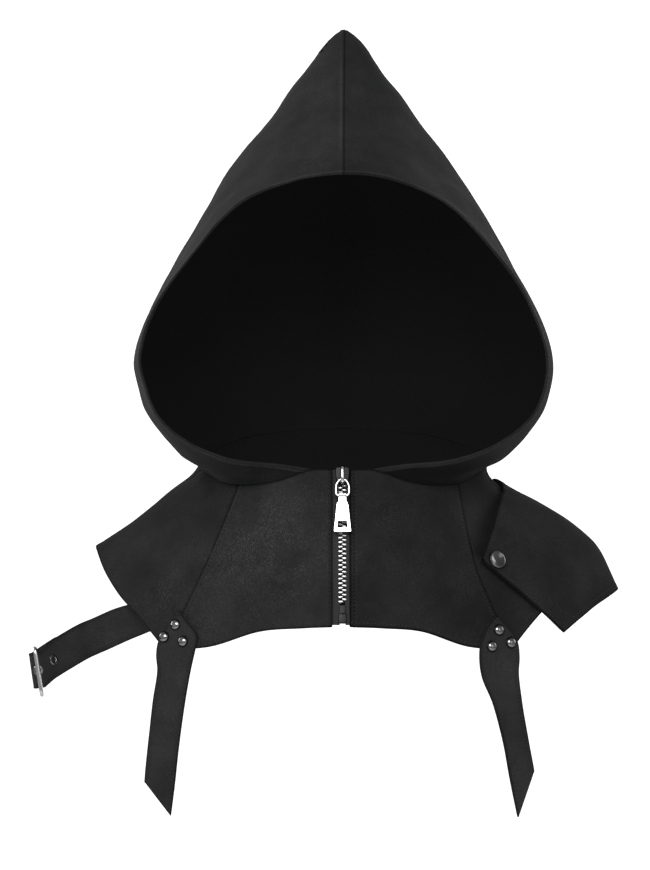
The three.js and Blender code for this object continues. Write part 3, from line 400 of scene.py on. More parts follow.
def read_at(values, places, length):
    """Values along a polyline read at lengths along it."""
    return np.stack([np.interp(places, length, column) for column in values.T], -1)


def stitches(lines, name):
    """Thread stitches along lines of (points, normals), as one mesh."""
    sides, stations = 6, 5
    along = np.linspace(-0.5, 0.5, stations) * STITCH_LENGTH
    lift = np.array([-0.7, 0.35, 0.6, 0.35, -0.7]) * STITCH_RADIUS
    girth = np.array([0.35, 0.95, 1.0, 0.95, 0.35]) * STITCH_RADIUS
    angles = np.arange(sides) * 2 * math.pi / sides
    template = np.array([
        (a, math.cos(t) * g, math.sin(t) * g + h)
        for a, g, h in zip(along, girth, lift) for t in angles
    ])
    template_faces = quads(looped(stations, sides))
    points, faces, count = [], [], 0
    for line, normals in lines:
        length = walk(line)
        number = int(length[-1] / STITCH_PITCH)
        if number < 1:
            continue
        at = (np.arange(number) + 0.5) * length[-1] / number
        tangent = unit(read_at(line, at + 0.5, length) - read_at(line, at - 0.5, length))
        beside = unit(np.cross(unit(read_at(normals, at, length)), tangent))
        basis = np.stack([tangent, beside, np.cross(tangent, beside)], -2)
        made = read_at(line, at, length)[:, None] + np.einsum("pk,nkc->npc", template, basis)
        points.append(made.reshape(-1, 3))
        starts = np.arange(number) * len(template) + count
        faces.append((template_faces[None] + starts[:, None, None]).reshape(-1, 4))
        count += number * len(template)
    new_piece(name, np.concatenate(points), np.concatenate(faces).tolist(), [materials["thread"]])


def hem(width=0.0, height=0.0, stitched=(), seam=0.0, edge=0.6, span=(0.0, 1.0), mark=STITCH_SHADE):
    """How a side of a cloth piece is finished: thicker by height up to width from its edge, stitch lines at the
    stitched distances over a span of its length, sunk by seam into a seam, painted darker by edge along its fold and
    by mark along its stitches as painted shade, with a painted highlight where the raised hem ends."""
    return {"width": width, "height": height, "stitched": stitched, "seam": seam, "edge": edge, "span": span,
            "mark": mark}


def within(grid, side, span):
    """1 along a span of the side's length and 0 outside it, for each point of the grid."""
    rows, columns = grid.shape[:2]
    shares = np.linspace(0, 1, columns)[None, :] if "row" in side else np.linspace(0, 1, rows)[:, None]
    start, end = span
    weight = np.ones_like(shares)
    if start > 0:
        weight = weight * smooth(start - 0.03, start + 0.01, shares)
    if end < 1:
        weight = weight * smooth(end + 0.03, end - 0.01, shares)
    return weight


def cloth(name, nodes, grid, outward, hems, extra=None, thickness=CLOTH, material="suede",
          bulges=(0.9, 0.9, 0.9, 0.9), mottling=0.5, seed=1, inside="lining", painted_light=None, flecks=FLECKS):
    """A cloth piece on a grid of points; its stitches are made later from stitch_lines.

    hems gives the finish of each side by name. extra(points) is further relief, which fades out at the seams,
    painted_light(points) is painted light and shade: how much lighter or darker the colour is made there. flecks is
    how far pale fibres show, as a number or a function of the points."""
    normals = grid_normals(grid) * outward
    soft = mottling * ripple(grid, 70, seed) + 0.25 * mottling * ripple(grid, 22, seed + 50)
    if extra is not None:
        soft += extra(grid)
    relief = np.zeros(grid.shape[:2])
    shade = np.zeros(grid.shape[:2]) if painted_light is None else painted_light(grid)
    for side, finish in hems.items():
        distance = from_edge(grid, side)
        weight = within(grid, side, finish["span"])
        if finish["seam"] > 0:
            soft *= smooth(0, 9, distance)
        relief += weight * finish["height"] * smooth(finish["width"] + 1.2, finish["width"] - 0.6, distance)
        relief -= weight * finish["seam"] * dent(distance, 1.3)
        # Painted shade along each side's fold and beside its stitches, and a painted highlight on the raised hem's
        # edge.
        shade -= weight * finish["edge"] * dent(distance, 0.8)
        shade += weight * 0.4 * finish["height"] * dent(distance - finish["width"] + 0.6, 0.9)
        for line in finish["stitched"]:
            relief -= weight * STITCH_SINK * dent(distance - line, 0.8)
            shade -= weight * finish["mark"] * dent(distance - line, 0.6)
    relief += soft
    outer = grid + normals * relief[..., None]
    depth = np.broadcast_to(thickness, relief.shape) - 0.45 * relief
    inner = grid - normals * depth[..., None]
    points, faces, sides, ring = shell(outer, inner, bulges)
    pale = flecks(grid) if callable(flecks) else np.full(shade.shape, flecks)
    fields = {"shade": shade, "flecks": pale}
    for field, values in fields.items():
        values = values.ravel()
        rim = np.resize(values[ring], len(points) - 2 * values.size)
        fields[field] = np.concatenate([values, np.zeros(values.size), rim])
    piece = new_piece(name, points, faces, [materials[material], materials[inside]], sides, nodes=nodes,
                      fields=fields)
    outer_normals = grid_normals(outer) * outward
    for side, finish in hems.items():
        for line in finish["stitched"]:
            stitch_lines.append(line_inside(outer, outer_normals, side, line, *finish["span"]))


def lathe(profile, origin, heading, turns=48):
    """Points and faces of a profile of (radius, height) turned about a heading."""
    heading = unit(heading)
    aside = unit(np.cross(heading, (0.3, 0.2, 1.0)))
    other = np.cross(heading, aside)
    angles = np.arange(turns) * 2 * math.pi / turns
    circle = np.cos(angles)[:, None] * aside + np.sin(angles)[:, None] * other
    points = np.array([np.asarray(origin) + r * circle + h * heading for r, h in profile])
    return points.reshape(-1, 3), quads(looped(len(profile), turns))


def join(parts):
    """One set of points and faces from several; a part may have quads or other polygons."""
    points, faces, count = [], [], 0
    for part_points, part_faces in parts:
        points.append(np.asarray(part_points))
        faces += [[int(v) + count for v in face] for face in part_faces]
        count += len(part_points)
    return np.concatenate(points), faces


def wire(path, radius, up, closed=False, sides=14, flat=1.0):
    """Round or flattened wire along a path of points."""
    path = np.asarray(path, float)
    if closed:
        ahead, behind = np.roll(path, -1, axis=0), np.roll(path, 1, axis=0)
    else:
        ahead = np.concatenate([path[1:], path[-1:]])
        behind = np.concatenate([path[:1], path[:-1]])
    tangent = unit(ahead - behind)
    beside = unit(np.cross(tangent, up))
    over = np.cross(beside, tangent)
    angles = np.arange(sides) * 2 * math.pi / sides
    points = (
        path[:, None]
        + radius * np.cos(angles)[None, :, None] * beside[:, None]
        + radius * flat * np.sin(angles)[None, :, None] * over[:, None]
    )
    index = looped(len(path), sides)
    if closed:
        index = np.concatenate([index, index[:1]], axis=0)
    faces = quads(index).tolist()
    if not closed:
        faces += [index[0, :-1].tolist()[::-1], index[-1, :-1].tolist()]
    return points.reshape(-1, 3), faces


def rounded(corners, radius, steps=6):
    """Closed outline with its corners rounded, from (x, y) corners."""
    corners = np.asarray(corners, float)
    outline = []
    for k, corner in enumerate(corners):
        before = corners[k - 1] - corner
        after = corners[(k + 1) % len(corners)] - corner
        reach = min(radius, 0.45 * np.linalg.norm(before), 0.45 * np.linalg.norm(after))
        start, end = corner + unit(before) * reach, corner + unit(after) * reach
        for t in np.linspace(0, 1, steps):
            outline.append((1 - t) ** 2 * start + 2 * t * (1 - t) * corner + t * t * end)
    return np.array(outline)


def plate(outlines, thickness, bevel, steps=3):
    """Flat plate with bevelled edges in the XY plane, from an outline and any holes."""
    curve = bpy.data.curves.new("plate", "CURVE")
    curve.dimensions = "2D"
    curve.fill_mode = "BOTH"
    curve.extrude = thickness / 2 - bevel
    curve.bevel_depth = bevel
    curve.bevel_resolution = steps
    curve.offset = -bevel
    for outline in outlines:
        spline = curve.splines.new("POLY")
        spline.points.add(len(outline) - 1)
        spline.points.foreach_set("co", np.array([(x, y, 0, 1) for x, y in outline], float).ravel())
        spline.use_cyclic_u = True
    maker = link("plate", curve)
    mesh = bpy.data.meshes.new_from_object(maker.evaluated_get(bpy.context.evaluated_depsgraph_get()))
    points = np.array([v.co for v in mesh.vertices])
    faces = [list(p.vertices) for p in mesh.polygons]
    bpy.data.objects.remove(maker)
    bpy.data.curves.remove(curve)
    bpy.data.meshes.remove(mesh)
    return points, faces


def metal(name, parts, nodes, body="hood_body", material="chrome"):
    """A hard piece: smooth but for edges sharper than SHARP_ANGLE, with touching points merged.

    material is one name, or a name for each part."""
    points, faces = join(parts)
    names = [material] * len(parts) if isinstance(material, str) else list(material)
    kinds = list(dict.fromkeys(names))
    of_face = np.repeat([kinds.index(kind) for kind in names], [len(part[1]) for part in parts])
    piece = new_piece(name, points, faces, [materials[kind] for kind in kinds], of_face, body=body,
                      nodes=nodes)
    mesh = piece.data
    bm = bmesh.new()
    bm.from_mesh(mesh)
    bmesh.ops.remove_doubles(bm, verts=bm.verts, dist=1e-6)
    bmesh.ops.recalc_face_normals(bm, faces=bm.faces)
    bm.to_mesh(mesh)
    bm.free()
    mesh.shade_smooth()
    mesh.set_sharp_from_angle(angle=SHARP_ANGLE)


# Materials

def nodes_of(name):
    """A new material with its tree, its shader and its place on the object."""
    material = bpy.data.materials.new(name)
    material.use_nodes = True
    tree = material.node_tree
    return material, tree, tree.nodes["Principled BSDF"], add(tree, "ShaderNodeTexCoord").outputs["Object"]


def feed(tree, node, inputs):
    for key, value in inputs.items():
        if isinstance(value, bpy.types.NodeSocket):
            tree.links.new(value, node.inputs[key])
        else:
            node.inputs[key].default_value = value


def add(tree, kind, inputs=None, **settings):
    node = tree.nodes.new(kind)
    for key, value in settings.items():
        setattr(node, key, value)
    feed(tree, node, inputs or {})
    return node


def ramp(tree, value, low, high, to_low=0.0, to_high=1.0):
    node = add(tree, "ShaderNodeMapRange", {
        "Value": value, "From Min": low, "From Max": high, "To Min": to_low, "To Max": to_high})
    return node.outputs["Result"]


def noise(tree, place, scale, detail=2.0, rough=0.5):
    return add(tree, "ShaderNodeTexNoise", {
        "Vector": place, "Scale": scale, "Detail": detail, "Roughness": rough}).outputs["Fac"]


def bump(tree, strength, distance, height):
    node = add(tree, "ShaderNodeBump", {"Strength": strength, "Distance": distance, "Height": height})
    return node.outputs[0]


def times(tree, a, b, operation="MULTIPLY"):
    return add(tree, "ShaderNodeMath", {0: a, 1: b}, operation=operation).outputs[0]


def mix_colour(tree, factor, a, b):
    node = add(tree, "ShaderNodeMix", {"Factor": factor}, data_type="RGBA")
    colours = [socket for socket in node.inputs if socket.type == "RGBA"]
    for socket, value in zip(colours, (a, b)):
        if isinstance(value, bpy.types.NodeSocket):
            tree.links.new(value, socket)
        else:
            socket.default_value = (*value, 1)
    return [socket for socket in node.outputs if socket.type == "RGBA"][0]


def strokes(tree, place, turn, seed):
    """Short fibre strokes that run one way across the cloth, from 0 to 1."""
    along = add(tree, "ShaderNodeMapping", {
        "Vector": place, "Rotation": (0.0, turn, 0.0), "Location": (seed, seed, seed), "Scale": (1.0, 0.6, 0.34)})
    return ramp(tree, noise(tree, along.outputs[0], 1900.0, 1.0), 0.54, 0.7)


def suede_material(name, dark, light, fleck, sheen, fleck_share=1.0, haze=0.0):
    """Brushed black suede: cloudy nap, crossed pale fibres in patches and a soft sheen.

    haze is a painted glow: an even emission of the hollow's cloth that stands in for scattered light."""
    material, tree, shader, place = nodes_of(name)
    nap = noise(tree, place, 520.0, 3.0, 0.7)
    cloud = ramp(tree, noise(tree, place, 22.0, 6.0, 0.66), 0.36, 0.66)
    ground = mix_colour(tree, times(tree, cloud, ramp(tree, nap, 0.3, 0.7, 0.4, 1.0)), dark, light)
    crossing = times(tree, strokes(tree, place, 0.8, 0.0), strokes(tree, place, -0.75, 3.0), "MAXIMUM")
    patches = ramp(tree, noise(tree, place, 30.0, 5.0, 0.66), 0.4, 0.62, 0.15, 1.0)
    shown = add(tree, "ShaderNodeAttribute", attribute_name="flecks").outputs["Fac"]
    flecks = times(tree, times(tree, crossing, patches), times(tree, shown, fleck_share))
    # The shade attribute is painted light and shade: it scales the base colour darker in grooves, along folded edges
    # and in shadows, and lighter on ridges.
    painted_shading = add(tree, "ShaderNodeAttribute", attribute_name="shade").outputs["Fac"]
    paint = mix_colour(tree, flecks, ground, fleck)
    depth = times(tree, painted_shading, 1.0, "ADD")
    shaded = add(tree, "ShaderNodeVectorMath", {0: paint, "Scale": depth}, operation="SCALE")
    feed(tree, shader, {
        "Base Color": shaded.outputs[0],
        "Roughness": ramp(tree, nap, 0.2, 0.8, 0.82, 0.98),
        "Normal": bump(tree, 0.4, 0.0003, times(tree, times(tree, crossing, 0.5), nap, "ADD")),
        "Sheen Weight": sheen, "Sheen Roughness": 0.5, "Sheen Tint": (0.75, 0.76, 0.8, 1),
        "Specular IOR Level": 0.1, "Emission Color": (1, 1, 1, 1), "Emission Strength": haze})
    return material


def tape_material():
    """Woven zip tape: fine ribs across a black ground."""
    material, tree, shader, place = nodes_of("zip_tape_weave")
    ribs, warp = (
        add(tree, "ShaderNodeTexWave", {"Vector": place, "Scale": scale, "Distortion": distortion, "Detail": 1.0},
            bands_direction=heading).outputs["Fac"]
        for scale, distortion, heading in ((420.0, 0.6, "Z"), (300.0, 0.4, "X")))
    weave = times(tree, ribs, warp)
    feed(tree, shader, {
        "Base Color": mix_colour(tree, weave, (0.011, 0.011, 0.0113), (0.034, 0.034, 0.035)),
        "Normal": bump(tree, 0.5, 0.0003, weave), "Roughness": 0.85, "Sheen Weight": 0.1})
    return material


def metal_material(name, colour, rough, scratches=0.1):
    """Plated metal with faint scratches and uneven polish."""
    material, tree, shader, place = nodes_of(name)
    haze = noise(tree, place, 160.0, 4.0, 0.6)
    drawn = add(tree, "ShaderNodeMapping", {"Vector": place, "Scale": (1.0, 1.0, 0.12)})
    dull = tuple(0.86 * c for c in colour)
    feed(tree, shader, {
        "Base Color": mix_colour(tree, haze, dull, colour), "Metallic": 1.0,
        "Roughness": ramp(tree, haze, 0.3, 0.75, rough, rough + 0.12),
        "Normal": bump(tree, scratches, 0.00005, noise(tree, drawn.outputs[0], 2600.0))})
    return material


def thread_material():
    """Twisted black polyester thread."""
    material, tree, shader, place = nodes_of("thread")
    twist = add(tree, "ShaderNodeTexWave", {"Vector": place, "Scale": 900.0, "Distortion": 1.5},
                bands_direction="DIAGONAL")
    feed(tree, shader, {
        "Base Color": mix_colour(tree, twist.outputs["Fac"], (0.004, 0.004, 0.0042), (0.011, 0.011, 0.0115)),
        "Roughness": 0.55})
    return material


GREY = np.array((1.0, 1.0, 1.03))

materials = {
    "suede": suede_material("suede_black", 0.0125 * GREY, 0.026 * GREY, 0.075 * GREY, 0.05),
    # The inside is a much darker copy of the suede, painted shade for the hollow and the cloth's hidden faces, with
    # haze as a painted glow.
    "lining": suede_material("suede_inside_painted_shade", 0.002 * GREY, 0.003 * GREY, 0.003 * GREY, 0.0, haze=0.0026),
    "strap": suede_material("suede_strap", 0.017 * GREY, 0.031 * GREY, 0.075 * GREY, 0.05, 0.8),
    "tape": tape_material(),
    "thread": thread_material(),
    "chrome": metal_material("nickel_bright", (0.85, 0.855, 0.865), 0.05),
    "stud": metal_material("nickel_stud", (0.3, 0.303, 0.31), 0.06),
    "snap": metal_material("steel_satin", (0.17, 0.17, 0.175), 0.16, 0.2),
    # Near-black nickel, far darker than plated metal: painted dark reflection on the zip's slider and painted shadow
    # as the rivets' foot rings; the zip's box takes it too.
    "slider": metal_material("nickel_painted_dark", (0.016, 0.016, 0.0165), 0.3, 0.2),
    "teeth": metal_material("nickel_teeth", (0.34, 0.343, 0.35), 0.18),
}


# Yoke

def settled(points, side):
    """Cloth points drawn in where the hood meets the shoulders, as the worn hood lies; x is positive outward."""
    x, z = points[..., 0], points[..., 2]
    shift = NOTCH_DEPTH * dent(z + 7, 10) * smooth(88, 112, x)
    if side < 0:
        shift += LEFT_CHEEK * smooth(-14, 2, z) * smooth(86, 62, z) * smooth(60, 110, x)
        shift -= LEFT_TIP * smooth(-42, -60, z) * smooth(-118, -98, z) * smooth(120, 150, x)
    moved_points = points.copy()
    moved_points[..., 0] -= shift
    return moved_points


def edge_points(place):
    place = np.atleast_1d(place)
    points = np.empty((len(place), 3))
    edges = [spoke[2] for spoke in YOKE_SPOKES]
    for k, start in enumerate(HEM_CORNERS[:-1]):
        end = HEM_CORNERS[k + 1]
        here = (place >= start) & ((place <= end) if k == len(HEM_CORNERS) - 2 else (place < end))
        if here.any():
            points[here] = rail(edges[start:end + 1], place[here] - start)
    near = np.abs(place - RIDGE_SPOKE) < TIP_ROUND
    if near.any():
        before = rail(edges[PRINCESS_SPOKE:RIDGE_SPOKE + 1], RIDGE_SPOKE - PRINCESS_SPOKE - TIP_ROUND)
        after = rail(edges[RIDGE_SPOKE:], TIP_ROUND)
        t = ((place[near] - RIDGE_SPOKE) / TIP_ROUND / 2 + 0.5)[:, None]
        points[near] = before * (1 - t) ** 2 + np.array(edges[RIDGE_SPOKE]) * 2 * t * (1 - t) + after * t ** 2
    return points


def yoke_points(place, reach, side):
    """Points of the yoke's outer face, with x positive on both sides."""
    place, reach = np.broadcast_arrays(np.asarray(place, float), np.asarray(reach, float))
    shape = place.shape
    p, r = place.ravel(), reach.ravel()[:, None]
    neck = rail([spoke[0] for spoke in YOKE_SPOKES], p)
    mid = rail([spoke[1] for spoke in YOKE_SPOKES], p)
    points = neck * (1 - r) * (1 - 2 * r) + mid * 4 * r * (1 - r) + edge_points(p) * r * (2 * r - 1)
    if side > 0:
        corner = np.sin(math.pi * np.clip((p - 1) / 7, 0, 1))
        shoulder = np.sin(math.pi * np.clip((p - 5) / 6, 0, 1))
        points[:, 0] -= RIGHT_INSET * r[:, 0] * corner
        points[:, 2] -= RIGHT_DROP * np.clip(5 * r[:, 0], 0, 1) * (1 - r[:, 0]) * shoulder
    return points.reshape(shape + (3,))


def yoke_under(side, x, z):
    """Point and outward normal of the yoke's outer face under (x, z) on its front."""
    place, reach, step = float(PRINCESS_SPOKE), 0.8, 1e-3
    for _ in range(30):
        here, before, beyond = yoke_points([place, place - step, place], [reach, reach, reach + step], side)
        along, out = (here - before) / step, (beyond - here) / step
        dx, dz = x * side - here[0], z - here[2]
        scale = along[0] * out[2] - along[2] * out[0]
        place += float(np.clip((dx * out[2] - dz * out[0]) / scale, -0.4, 0.4))
        reach += float(np.clip((along[0] * dz - along[2] * dx) / scale, -0.2, 0.2))
    ends = yoke_points([place, place + 0.05, place - 0.05, place, place],
                       [reach, reach, reach, reach + 0.03, reach - 0.03], side)
    normal = unit(np.cross(ends[3] - ends[4], ends[1] - ends[2]))
    mirror = np.array((side, 1, 1))
    return ends[0] * mirror, normal * mirror


def over_yoke(side, x, z, lift):
    point, normal = yoke_under(side, x, z)
    return point + normal * lift


def seam_place(side, reach):
    if side < 0:
        return np.full_like(reach, PRINCESS_SPOKE)
    return PRINCESS_SPOKE + RIGHT_SEAM_LEAN * np.clip(1 - reach / 0.55, 0, 1) ** 1.2


def yoke_grid(side, start, end, reaches, shares):
    """Grid of a yoke panel between two seams, each a spoke number or "princess"."""
    ends = [seam_place(side, reaches) if seam == "princess" else np.full_like(reaches, seam)
            for seam in (start, end)]
    place = lerp(ends[0][:, None], ends[1][:, None], shares[None, :])
    reach = np.repeat(reaches[:, None], len(shares), axis=1)
    grid = yoke_points(place, reach, side)
    if start == 0:
        first = yoke_points(np.ones(len(reaches)), reaches, side)
        near = place < 1
        grid[..., 0] = np.where(near, lerp(PLACKET[side], first[:, None, 0], place), grid[..., 0])
    for column, beside in ((0, 1), (-1, -2)):
        if (start, end)[column] != 0:
            inward = unit(grid[:, beside] - grid[:, column])
            grid[:, column] += inward * SEAM_HALF_GAP
    grid = settled(grid, side)
    grid[..., 0] *= side
    return grid


# Soft folds in the front view by side, as (height, start, end, width) and a taper where it isn't fold's own.
FRONT_FOLDS = {
    -1: [(1.3, (-24, -2), (-34, -16), 4.5), (-0.9, (-33, -2), (-52, -18), 3.5), (0.8, (-12, -14), (-40, -20), 5),
         (0.7, (-95, -118), (-38, -112), 9)],
    1: [(1.0, (26, -3), (44, -22), 5), (-0.8, (18, -4), (30, -30), 4)],
}
# On the left the first two are the bump of the buckle strap's hidden end.
SHOULDER_FOLDS = {
    -1: [(1.3, (-157, -113), (-142, -122), 7, 0.4), (-0.8, (-158, -118), (-138, -128), 2.5, 0.3),
         (0.9, (-118, -8), (-104, -20), 6)],
    1: [(1.2, (128, -40), (112, -78), 8), (-1.0, (116, -30), (104, -70), 7), (0.9, (125, -112), (150, -100), 8)],
}
# Draws that run up from the rim's corners, and a bend behind the face; x is positive outward.
HOOD_FOLDS = [(0.8, (60, 232), (38, 290), 7), (-0.7, (78, 222), (55, 268), 7), (0.7, (104, 196), (92, 232), 6),
              (1.2, (60, -3), (112, 2), 5)]
FLAP_FOLDS = [(0.8, (150, -60), (200, -104), 10), (-0.7, (135, -40), (185, -78), 9)]
CREASES = [(0.7, (-196, -110), (-192, -156)), (-0.6, (-205, -110), (-199, -156)), (0.6, (-213, -110), (-208, -156)),
           (0.5, (-184, -110), (-181, -156))]


def folds(points, rows):
    return sum(height * fold(points, *line) for height, *line in rows)


def front_relief(side):
    def relief(points):
        rough = 0.5 * ripple(points * np.array((1, 0.5, 0.35)), 26, 11 + side)
        return rough * smooth(-150, -60, points[..., 2]) + folds(points, FRONT_FOLDS[side])
    return relief


PLACKET_HEM = {-1: hem(2.6, 0.3, (1.7,), mark=0.5), 1: hem(4.8, 0.45, (3.1,), mark=0.6)}


def under_flap_painted_shadow(points):
    """Painted shade and shadow: the shoulder's cloth is painted darker all over, and most along the flap's edge,
    where the flap's shadow falls.
    """
    return (-0.25 - 0.45 * fold(points, (126, -18), (107, -72), 9, 0.1)
            - 0.3 * fold(points, (106, -70), (158, -112), 5, 0.1))


# Painted shade: a darker patch on the left front near the neck.
def left_front_painted_shade(points):
    return 0.02 - 0.15 * fold(points, (-60, -20), (-85, -14), 12, 0.3)


# Painted shade: the right front painted darker all over, where less light falls, and more in a patch near the neck.
def right_front_painted_shade(points):
    return -0.27 - 0.15 * fold(points, (30, -20), (90, -30), 12, 0.3)


# Painted shade: the left shoulder painted darker, more towards its top.
def left_shoulder_painted_shade(points):
    return -0.08 - 0.32 * smooth(-75, -25, points[..., 2])


def left_flecks(points):
    """Pale fibres stand out over the middle of the left front and by the left shoulder's foot."""
    middle = np.stack([points[..., 0] + 62, points[..., 2] + 62], -1) / np.array((42, 34))
    foot = np.stack([points[..., 0] + 135, points[..., 2] + 104], -1) / np.array((22, 16))
    return 0.25 + 0.75 * np.exp(-(middle ** 2).sum(-1)) + 0.5 * np.exp(-(foot ** 2).sum(-1))


def make_yoke():
    reaches = graded(((0.06, 14), (0.075, 18)), 34)
    shares = graded(((0.07, 16), (0.07, 16)), 40)
    neck = hem(3.0, seam=0.4, edge=0.5)
    for name, side in SIDES:
        flecks = left_flecks if side < 0 else FLECKS
        cloth(
            f"suede_yoke_front_{name}", [f"yoke_front_{name}"],
            yoke_grid(side, 0, "princess", reaches, shares), side,
            {"last_row": hem(3.4, 0.3, (2.6,), mark=0.12), "first_row": neck,
             "first_column": PLACKET_HEM[side], "last_column": hem(4.2, 0.2, (3.3,), 0.6, 0.5, mark=0.25)},
            front_relief(side), bulges=(0.25, 0.2, 0.9, 0.9), seed=3 + side,
            painted_light=left_front_painted_shade if side < 0 else right_front_painted_shade, flecks=flecks)
        cloth(
            f"suede_yoke_shoulder_{name}", [f"yoke_shoulder_{name}"],
            yoke_grid(side, "princess", RIDGE_SPOKE, reaches, shares), side,
            {"last_row": hem(4.4, 0.4, (3.4,), mark=0.35), "first_row": neck,
             "first_column": hem(seam=0.6, edge=0.5), "last_column": hem(4.0, 0.3, (3.0,), 0.8, 0.5, mark=0.2)},
            lambda points: folds(points, SHOULDER_FOLDS[side]), bulges=(0.25, 0.2, 0.9, 0.2), seed=8 + side,
            painted_light=left_shoulder_painted_shade if side < 0 else under_flap_painted_shadow, flecks=flecks)
    back_shares = graded(((0.02, 7), (0.0, 0)), 46)
    halves = [yoke_grid(side, RIDGE_SPOKE, LAST_SPOKE, reaches, back_shares) for side in (-1, 1)]
    grid = np.concatenate([halves[0], halves[1][:, -2::-1]], axis=1)
    grid[:, halves[0].shape[1] - 1, 0] = 0
    cloth(
        "suede_yoke_back", ["yoke_back"], grid, -1,
        {"last_row": hem(4.4, 0.4, (3.4,), mark=0.2), "first_row": neck, "first_column": hem(seam=0.8),
         "last_column": hem(seam=0.8)},
        bulges=(0.25, 0.2, 0.9, 0.2), mottling=0.9, seed=21)


# Hood

def hood_ribs(shares):
    ribs = []
    corner_to_back = np.linspace(HOOD_CORNER_SPOKE, LAST_SPOKE, 61)
    ribs.append(spaced(rail([spoke[0] for spoke in YOKE_SPOKES], corner_to_back), shares, 600))
    for rim, front, side, (back_y, back_z), round_share in HOOD_RIBS:
        side = np.array(side, float)
        quarter = (side[0] * round_share, lerp(side[1], back_y, round_share), lerp(side[2], back_z, 0.5))
        ribs.append(spaced([rim, front, side, quarter, (0, back_y, back_z)], shares))
    return np.array(ribs)


def round_peak(grid):
    """Sets x near the top so that level slices turn oval and the outline from the front follows PEAK_OUTLINE."""
    ridge, back_seam = grid[-1], grid[:, -1]
    y, z = grid[..., 1], grid[..., 2]
    front_y = np.interp(z, ridge[:, 2], ridge[:, 1])
    back_y = np.interp(z, back_seam[:, 2], back_seam[:, 1])
    middle, half = (front_y + back_y) / 2, np.maximum((back_y - front_y) / 2, 0.5)
    heights, widths = np.array(PEAK_OUTLINE, float).T
    width = np.interp(z, heights, widths)
    # Next to the ridge a point lies as far round the oval as it is from the ridge.
    from_ridge = np.minimum(from_edge(grid, "last_row") / width, 1)
    across = np.clip((y - middle) / half, -1 + from_ridge ** 2 / 2, 1)
    share = smooth(heights[0], heights[0] + 45, z)
    grid[..., 0] = lerp(grid[..., 0], width * np.sqrt(np.clip(1 - across ** 2, 0, 1)), share)
    grid[..., 1] = lerp(y, middle + across * half, share)
    grid[..., 2] += TIP_RISE * smooth(340, 358, z)


def hood_grid(side, rows, shares):
    ribs = hood_ribs(shares)
    grid = rail(ribs, rows * (len(ribs) - 1))
    grid[0] -= unit(grid[1] - grid[0]) * NECK_OVERLAP
    round_peak(grid)
    grid = settled(grid, side)
    grid[..., 0] = np.maximum(grid[..., 0], SEAM_HALF_GAP) * side
    rise = np.maximum(grid[..., 2] - LEAN_FROM, 0) / LEAN_OVER
    grid[..., 0] += HOOD_SHIFT * smooth(10, 60, grid[..., 2]) + PEAK_LEAN * rise ** 1.5
    return grid


def rim_folds(points, side):
    """Where the rim's turned edge is creased: at the lower corner on the viewer's left, less elsewhere."""
    low = smooth(130, 40, points[..., 2])
    return low * (1.0 if side < 0 else 0.45)


def hood_relief(side):
    def relief(points):
        upper = smooth(120, 240, points[..., 2])
        out = 0.7 * ripple(points * np.array((1, 1, 0.3)), 34, 31 + side) * (0.35 + 0.65 * upper)
        out *= smooth(0, 10, from_edge(points, "first_column")) * smooth(0, 14, from_edge(points, "last_row"))
        out += folds(points * np.array((side, 1, 1)), HOOD_FOLDS)
        edge = from_edge(points, "first_column")
        creases = rim_folds(points, side)
        for line in RIM_CREASES:
            out += 0.35 * dent(edge - line, 0.8) * creases
        return out
    return relief


# Painted light and shade on the hood: painted highlights along the rim's edge, its creases and the left ridge lap,
# painted shade on the band under the rim, and the left half lighter and the right darker near the ridge.
def hood_painted_light(side):
    def painted_light(points):
        edge, ridge = from_edge(points, "first_column"), from_edge(points, "last_row")
        z = points[..., 2]
        out = 0.9 * dent(edge - 1.5, 0.5)
        creases = rim_folds(points, side)
        for line in RIM_CREASES:
            out += 1.3 * dent(edge - line, 0.45) * creases
        # Painted shade: the turned-down band between the rim's folds and the neck seam is painted dark.
        band = smooth(30, -2, z) * smooth(130, 110, np.abs(points[..., 0]))
        out -= (0.42 if side < 0 else 0.86) * band * smooth(4, 8, edge)
        if side < 0:
            out += 0.5 * dent(ridge - 1.9, 0.8) * smooth(246, 256, z) * smooth(345, 320, z)
            out += 0.1 * smooth(60, 20, ridge)
        else:
            out -= 0.14 * smooth(60, 20, ridge)
        return out
    return painted_light


def make_hood():
    rows = graded(((0.02, 10), (0.03, 12)), 96)
    shares = graded(((0.034, 22), (0.02, 10)), 84)
    for name, side in SIDES:
        grid = hood_grid(side, rows, shares)
        # The halves are thinned where they meet in the tip, so that neither comes through the other.
        wall = lerp(0.25, CLOTH, smooth(360, 336, grid[..., 2]))
        # The left half is lapped over the right along the ridge.
        ridge = hem(3.6, 0.35, seam=0.6, edge=0.55) if side < 0 else hem(seam=0.6, edge=0.55)
        cloth(
            f"suede_hood_{name}", [f"hood_{name}"], grid, -side,
            {"first_column": hem(edge=0.3), "last_row": ridge,
             "last_column": hem(4.0, 0.4, (3.2,), 0.8, 0.5, (0.04, 0.74), 0.2),
             "first_row": hem(3.0, seam=0.4, edge=0.5)},
            hood_relief(side), wall, bulges=(0.25, 0.2, 0.2, 1.0), mottling=0.8, seed=40 + side,
            painted_light=hood_painted_light(side))


# Flap

def flap_grid(rows, shares):
    arches = np.array([spaced(row, shares) for row in FLAP_ROWS])
    grid = rail(arches, rows * (len(FLAP_ROWS) - 1))
    grid[..., 0] += FLAP_REACH * smooth(196, 222, grid[..., 0])
    return grid


# Painted shade: the flap painted darker, with a painted highlight along its upper fold.
def flap_painted_shade(points):
    return -0.24 + 0.1 * fold(points, (196, -50), (150, -20), 14, 0.2)


